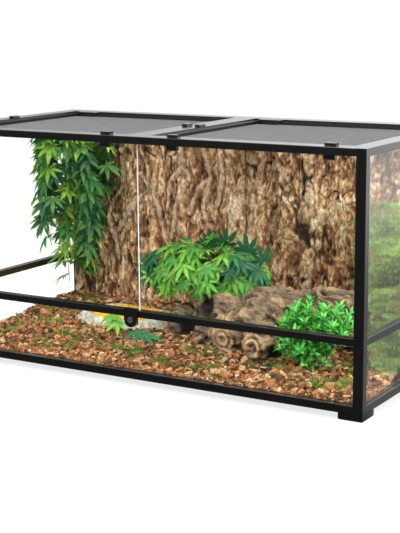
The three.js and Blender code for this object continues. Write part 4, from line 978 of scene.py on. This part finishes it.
BUSH_GREENS = [(0.15, 0.46, 0.05), (0.24, 0.55, 0.06), (0.1, 0.38, 0.05), (0.03, 0.2, 0.06), (0.02, 0.14, 0.055)]
BUSH_STEMS = 150
STALK = (0.1, 0.26, 0.06)
# Dark leaves that stand up at the back: across, up, size.
STAR_LEAVES = (
    (0.0, 0.29, 0.05), (0.055, 0.296, 0.054), (0.12, 0.282, 0.056), (0.165, 0.262, 0.05), (-0.19, 0.21, 0.05),
)


def bush():
    """Leaves cover a dome and face outwards; pale ones are in front and dark ones behind."""
    rng = np.random.default_rng(19)
    heap = Heap()
    root = np.array((0.0, 0.065, 0.165))
    middle = np.array((-0.008, 0.058, 0.208))
    half = np.array((0.19, 0.085, 0.1))
    for stem in range(BUSH_STEMS):
        a = TAU * (stem * GOLDEN) + rng.normal(0, 0.1)
        u = 1 - 1.4 * (stem + 0.5) / BUSH_STEMS
        ring = math.sqrt(max(0.0, 1 - u * u))
        heading = np.array((ring * math.cos(a), ring * math.sin(a), u))
        tip = middle + heading * half * rng.uniform(0.72, 1.0)
        if tip[2] < 0.15 and tip[1] > 0.04:
            continue
        knee = root + (tip - root) * 0.55 + (0, 0, 0.03)
        tube(heap, [root + rng.normal(0, 0.008, 3), knee, tip], 0.0014, STALK, 4)
        out = unit(heading / half)
        down = np.array((heading[0] * 0.7, heading[1] * 0.5 - 0.15, -0.5 + rng.normal(0, 0.2)))
        ahead = unit(down - out * np.dot(down, out) + out * rng.uniform(0.0, 0.3))
        up = unit(out + np.array((0, -0.35, 0.35)))
        behind = tip[1] > 0.06 or tip[0] < -0.12 or (tip[0] > 0.09 and tip[2] > 0.23)
        shades = BUSH_GREENS[3:] if behind and rng.uniform() < 0.8 else BUSH_GREENS[:3]
        color = np.array(shades[rng.integers(0, len(shades))])
        hand_leaf(heap, tip, ahead, up, rng.uniform(0.04, 0.056), color * rng.uniform(0.85, 1.15), rng)
    for x, z, size in STAR_LEAVES:
        at = np.array((x, 0.06, z))
        tube(heap, [root, (root + at) / 2 + (0, 0, 0.02), at], 0.0014, STALK, 4)
        ahead = unit(np.array((rng.normal(0.1, 0.3), -0.25, 1.0)))
        hand_leaf(heap, at, ahead, np.array((0.2, -1.0, 0.35)), size, np.array((0.02, 0.15, 0.055)), rng)
    piece = heap.build("leafy_bush", LEAF, slot="bush_leaf", smooth=True)
    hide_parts("bush")


bush()

FERN_GREENS = [(0.09, 0.5, 0.06), (0.15, 0.62, 0.08), (0.05, 0.36, 0.05), (0.24, 0.74, 0.14)]
# The fern's clumps: root, middle, half sizes and how many sprigs.
FERN_CLUMPS = (
    ((0.37, -0.112, 0.05), (0.37, -0.112, 0.118), (0.078, 0.052, 0.105), 46),
    ((0.42, -0.105, 0.07), (0.447, -0.108, 0.165), (0.05, 0.045, 0.05), 20),
)


def fern():
    """Sprigs with pointed leaflets all round, from a root out to rounded clumps."""
    rng = np.random.default_rng(29)
    heap = Heap()
    for root, middle, half, count in FERN_CLUMPS:
        root, middle, half = np.array(root), np.array(middle), np.array(half)
        for sprig in range(count):
            a = TAU * sprig * GOLDEN
            u = 1 - 1.6 * (sprig + 0.5) / count
            ring = math.sqrt(max(0.0, 1 - u * u))
            end = middle + np.array((ring * math.cos(a), ring * math.sin(a), u)) * half * rng.uniform(0.75, 1.0)
            end[2] = max(end[2], 0.06)
            run = end - root
            arch = 0.012 + 0.015 * rng.uniform()
            spine = [root + run * t + np.array((0, 0, arch * math.sin(math.pi * t))) for t in np.linspace(0, 1, 8)]
            tube(heap, spine, 0.0018, (0.05, 0.3, 0.06), 5)
            length = np.linalg.norm(run)
            heading = unit(run)
            across = unit(np.cross(heading, (0.1, 0.2, 1.0)))
            other = np.cross(heading, across)
            steps = max(8, int(length / 0.0042))
            spin = rng.uniform(0, TAU)
            for i in range(steps):
                t = 0.3 + 0.7 * (i + 1) / steps
                at = root + run * t + np.array((0, 0, arch * math.sin(math.pi * t)))
                spin += 2.4
                out = across * math.cos(spin) + other * math.sin(spin)
                ahead = unit(out + heading * (0.35 + 0.8 * t**2))
                up = unit(heading - out * 0.3)
                size = rng.uniform(0.022, 0.032) * (1.1 - 0.3 * t)
                color = np.array(FERN_GREENS[rng.integers(0, 4)]) * rng.uniform(0.75, 1.15)
                leaflet(heap, at, ahead, up, size, size * 0.3, 0.15, color)
    low = (-np.inf, -np.inf, 0.043)
    piece = heap.build("green_fern", FROND, low, slot="fern_leaf", smooth=True)
    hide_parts("fern")


fern()


# ---- Log: a hollow, knotty piece of driftwood ----
LOG_VOXEL = 0.003


def blob(centre, size, turn_z, tilt):
    mesh = bpy.data.meshes.new("blob")
    shape = bmesh.new()
    bmesh.ops.create_icosphere(shape, subdivisions=3, radius=1.0)
    turned = Matrix.Rotation(turn_z, 4, "Z") @ Matrix.Rotation(tilt, 4, "Y")
    shape.transform(Matrix.Translation(centre) @ turned @ Matrix.Diagonal((*size, 1)))
    shape.to_mesh(mesh)
    shape.free()
    return mesh


def remeshed(parts, voxel):
    verts = []
    faces = []
    for mesh in parts:
        start = len(verts)
        verts += [v.co[:] for v in mesh.vertices]
        faces += [tuple(start + i for i in p.vertices) for p in mesh.polygons]
    joined = bpy.data.meshes.new("joined")
    joined.from_pydata(verts, [], faces)
    holder = bpy.data.objects.new("holder", joined)
    bpy.context.scene.collection.objects.link(holder)
    modifier = holder.modifiers.new("remesh", "REMESH")
    modifier.mode = "VOXEL"
    modifier.voxel_size = voxel
    smoother = holder.modifiers.new("smooth", "SMOOTH")
    smoother.factor = 0.5
    smoother.iterations = 8
    graph = bpy.context.evaluated_depsgraph_get()
    result = bpy.data.meshes.new_from_object(holder.evaluated_get(graph))
    bpy.data.objects.remove(holder)
    count = len(result.vertices)
    points = np.empty(count * 3)
    normals = np.empty(count * 3)
    result.vertices.foreach_get("co", points)
    result.vertex_normals.foreach_get("vector", normals)
    polygons = [tuple(p.vertices) for p in result.polygons]
    return points.reshape(-1, 3), normals.reshape(-1, 3), polygons


# Lobes of the log: middle, half sizes, turn about Z, tilt about Y.
LOBES = (
    ((0.085, 0.045, 0.125), (0.105, 0.078, 0.06), 0.15, 0.1), ((0.2, 0.045, 0.135), (0.12, 0.082, 0.06), -0.15, -0.05),
    ((0.275, 0.06, 0.105), (0.075, 0.07, 0.075), 0.2, 0.2), ((0.36, 0.072, 0.172), (0.115, 0.036, 0.032), 0.06, 0.0),
    ((0.4, 0.075, 0.11), (0.06, 0.045, 0.06), 0.3, 0.0), ((-0.062, 0.035, 0.078), (0.042, 0.055, 0.045), 0.2, 0.15),
    ((-0.03, 0.07, 0.07), (0.055, 0.045, 0.045), -0.3, 0.0), ((0.02, 0.04, 0.095), (0.045, 0.06, 0.035), 0.1, 0.5),
    ((0.05, -0.005, 0.072), (0.036, 0.045, 0.045), -0.2, 0.2), ((0.115, -0.03, 0.08), (0.05, 0.048, 0.055), -0.35, 0.0),
    ((0.235, -0.075, 0.085), (0.047, 0.055, 0.05), 0.5, 0.0), ((0.18, -0.03, 0.115), (0.06, 0.05, 0.05), 0.3, 0.0),
    ((0.33, 0.03, 0.08), (0.05, 0.05, 0.06), 0.0, 0.0),
)
# Hollows, pushed in and painted near black as painted shadow: middle and half sizes.
HOLLOWS = (
    ((-0.029, -0.03, 0.082), (0.022, 0.08, 0.034)), ((0.045, -0.01, 0.145), (0.026, 0.08, 0.026)),
    ((0.27, -0.06, 0.076), (0.026, 0.07, 0.03)), ((0.29, -0.01, 0.16), (0.034, 0.06, 0.012)),
    ((0.16, -0.09, 0.06), (0.02, 0.04, 0.014)),
)
KNOTS = ((0.236, -0.13, 0.083), (0.12, -0.075, 0.08))


def log():
    points, normals, faces = remeshed([blob(*lobe) for lobe in LOBES], LOG_VOXEL)
    turn = layered(points / 0.07, 2, seed=81)
    along = np.stack([points[:, 0] - 0.45 * points[:, 2], points[:, 1], points[:, 2] + 0.45 * points[:, 0]], axis=-1)
    fibres = along / [0.15, 0.027, 0.027] + turn[:, None] * 1.1
    ridge = 1 - np.abs(layered(fibres, 3, seed=83))
    strands = 1 - np.abs(layered(along / [0.055, 0.0095, 0.0095] + turn[:, None] * 1.6, 3, seed=85))
    from_knot = np.stack([np.linalg.norm((points - knot) / [1.0, 1.0, 1.15], axis=1) for knot in KNOTS], axis=-1)
    near = from_knot.min(axis=1)
    whorl = np.clip(1.2 - near / 0.05, 0, 1)
    rings = np.sin(near / 0.0026 + 5 * turn)
    ridge = ridge * (1 - whorl) + (0.6 + 0.35 * rings) * whorl
    lumps = layered(points / 0.03, 3, seed=87)
    fine = layered(points / 0.007, 3, seed=89)
    relief = 0.014 * (ridge - 0.6) + 0.005 * (strands - 0.6) * (1 - whorl) + 0.007 * lumps + 0.002 * fine
    points = points + normals * relief[:, None]
    # Each hollow is painted near black: painted shadow.
    dark = np.zeros(len(points))
    for centre, size in HOLLOWS:
        inside = 1 - np.linalg.norm((points - centre) / size, axis=1)
        dark = np.maximum(dark, ramp(inside, -0.1, 0.3))
        points[:, 1] += np.clip(inside, 0, 1) * 0.045
    ground = ground_height(points[:, 0], points[:, 1]) - 0.004
    points[:, 2] = np.maximum(points[:, 2], ground)
    # Grooves darken: partly the wood's darker crevices, partly painted shade.
    groove_shade = np.clip(0.62 - ridge, 0, 1) * 1.7 + np.clip(0.5 - strands, 0, 1) * 1.3
    tone = 0.42 + 0.22 * lumps + 0.5 * (ridge - 0.6) + 0.4 * (strands - 0.6) + 0.16 * fine + 0.6 * whorl
    colors = np.stack([np.clip(groove_shade, 0, 1), dark, np.clip(tone, 0, 1)], axis=-1)
    piece = make_object("driftwood_log", points, faces, WOOD, slot="log_wood", colors=colors, smooth=True)
    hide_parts("log")


log()


# ---- Rock dish with yellow grit ----
DISH_HALF = (0.138, 0.092)


def dish():
    centre = np.array((-0.266, 0.07))
    rings = [
        (1.06, 0.0), (1.04, 0.008), (0.98, 0.016), (0.94, 0.023), (0.89, 0.026), (0.84, 0.024), (0.8, 0.02), (0.74, 0.016),
    ]
    turns = 96
    verts = []
    for reach, height in rings:
        for i in range(turns):
            a = TAU * i / turns
            verts.append((math.cos(a), math.sin(a), reach, height))
    rows = np.array(verts)
    bumps = layered(rows[:, :2] * 2.2 + rows[:, 3:4] * 20, 3, seed=91)
    reach = rows[:, 2] * (1 + 0.09 * bumps)
    x = centre[0] + rows[:, 0] * reach * DISH_HALF[0]
    y = centre[1] + rows[:, 1] * reach * DISH_HALF[1]
    z = 0.052 + rows[:, 3] + 0.004 * bumps
    points = np.stack([x, y, z], axis=-1)
    points[:turns, 2] = 0.036
    faces = ring_faces(len(rings), turns)
    faces += [tuple(range((len(rings) - 1) * turns, len(rings) * turns)), tuple(reversed(range(turns)))]
    make_object("rock_dish", points, faces, ROCK, slot="log_wood", smooth=True)
    rng = np.random.default_rng(95)
    heap = Heap()
    for _ in range(900):
        a = rng.uniform(0, TAU)
        reach = math.sqrt(rng.uniform(0, 1)) * 0.8
        along, across = reach * math.cos(a) * DISH_HALF[0], reach * math.sin(a) * DISH_HALF[1]
        at = np.array((centre[0] + along, centre[1] + across, 0.071 + 0.014 * (1 - reach)))
        size = rng.uniform(0.004, 0.008)
        corners = rng.normal(0, 1, (6, 3))
        octa = np.array([(1, 0, 0), (-1, 0, 0), (0, 1, 0), (0, -1, 0), (0, 0, 1), (0, 0, -1)]) + corners * 0.2
        faces = [(0, 2, 4), (2, 1, 4), (1, 3, 4), (3, 0, 4), (2, 0, 5), (1, 2, 5), (3, 1, 5), (0, 3, 5)]
        heap.add(at + octa * size, faces, (1, 1, 1))
    heap.build("yellow_grit", FOOD, slot="bark_chips")


dish()


# ---- Loose leaves in front of the dish ----
def loose_leaves():
    rng = np.random.default_rng(99)
    heap = Heap()
    for at, turn_leaf, size, color in (
        ((-0.225, -0.055, 0.1), -1.3, 0.055, (0.14, 0.42, 0.05)), ((-0.2, -0.07, 0.085), -1.9, 0.05, (0.2, 0.52, 0.06)),
        ((-0.13, -0.075, 0.07), -1.5, 0.06, (0.02, 0.2, 0.07)), ((-0.1, -0.085, 0.062), -0.7, 0.052, (0.03, 0.23, 0.07)),
    ):
        ahead = unit(np.array((math.cos(turn_leaf), math.sin(turn_leaf), -0.35)))
        hand_leaf(heap, np.array(at), ahead, unit(np.array((0.1, -0.55, 0.8))), size, color, rng)
    heap.build("loose_leaves", LEAF, slot="bush_leaf", smooth=True)


loose_leaves()

# ---- Floor and light ----
scene = bpy.context.scene
FLOOR_HALF = 12
FLOOR_DROP = 0.0005  # keeps the floor clear of the feet
BACKGROUND_GLOW = 1.4  # glass takes a little of the white behind it


def floor_material():
    look = Look("pale_floor", Roughness=0.6, Base_Color=(0.9, 0.9, 0.9))
    distance = look.node("ShaderNodeVectorMath", {0: look.place}, operation="LENGTH").outputs["Value"]
    fade = look.map_range(distance, (0.7, 1.6), (0.78, 1.0))
    shown = look.mix_shader(fade, look.bsdf, look.emission())
    # Gloss mirrors a studio that is dark where the viewer stands.
    axes = look.axes(look.place)
    behind = look.map_range(axes["Y"], (-0.31, -0.2), (0.02, 1.0))
    beside = look.ramp(axes["X"], [(0.55, 1.0), (0.62, 0.28)])
    outward = look.map_range(axes["X"], (1.2, 1.95), (0.0, 0.7))
    card = look.math("MULTIPLY", behind, look.math("ADD", beside, outward))
    path = look.node("ShaderNodeLightPath").outputs
    mirrored = look.mix_shader(path["Is Glossy Ray"], shown, look.emission(card))
    # The floor is brighter straight through glass.
    through = look.math("MULTIPLY", look.straight(0.5), path["Is Transmission Ray"])
    look.surface(look.mix_shader(through, mirrored, look.emission(BACKGROUND_GLOW)))
    return look.material


corners = [(-1, -1), (1, -1), (1, 1), (-1, 1)]
floor_mesh = bpy.data.meshes.new("floor")
floor_mesh.from_pydata([(x * FLOOR_HALF, y * FLOOR_HALF, -FLOOR_DROP) for x, y in corners], [], [(0, 1, 2, 3)])
floor_mesh.materials.append(floor_material())
floor = bpy.data.objects.new("floor", floor_mesh)
scene.collection.objects.link(floor)


def studio(world):
    """Bright behind and beside the cabinet, dark where the viewer stands, white as a background."""
    world.use_nodes = True
    sky = Nodes(world.node_tree)
    axes = sky.axes(sky.node("ShaderNodeTexCoord").outputs["Generated"])
    front = sky.map_range(axes["Y"], (-0.75, 0.1), (0.05, 1.0))
    to_left = sky.map_range(axes["X"], (-0.64, -0.38), (0.5, 1.0))
    around = sky.math("MULTIPLY", front, to_left)
    # The background itself counts as one more turn.
    levels = {0: sky.straight(1.5), 2: around, 3: BACKGROUND_GLOW}
    strength = sky.node("ShaderNodeMix", levels, data_type="FLOAT").outputs[0]
    background = sky.tree.nodes["Background"]
    sky.feed(background.inputs["Strength"], strength)
    sky.feed(background.inputs["Color"], (1, 1, 1))


scene.world = bpy.data.worlds.new("studio")
studio(scene.world)


def area_lamp(name, at, target, size, power):
    data = bpy.data.lights.new(name, "AREA")
    data.shape = "RECTANGLE"
    data.size, data.size_y = size
    data.energy = power
    lamp = bpy.data.objects.new(name, data)
    scene.collection.objects.link(lamp)
    heading = Vector(target) - Vector(at)
    lamp.matrix_world = Matrix.Translation(at) @ heading.to_track_quat("-Z", "Y").to_matrix().to_4x4()


area_lamp("key", (-0.6, -2.6, 2.6), (0, 0, 0.25), (2.2, 1.6), 95)
area_lamp("top", (0.2, 0.1, 2.6), (0, 0, 0.3), (2.4, 1.6), 60)
area_lamp("side", (2.6, -0.4, 1.6), (0.2, 0, 0.3), (1.6, 1.6), 70)

scene.view_settings.view_transform = "Standard"
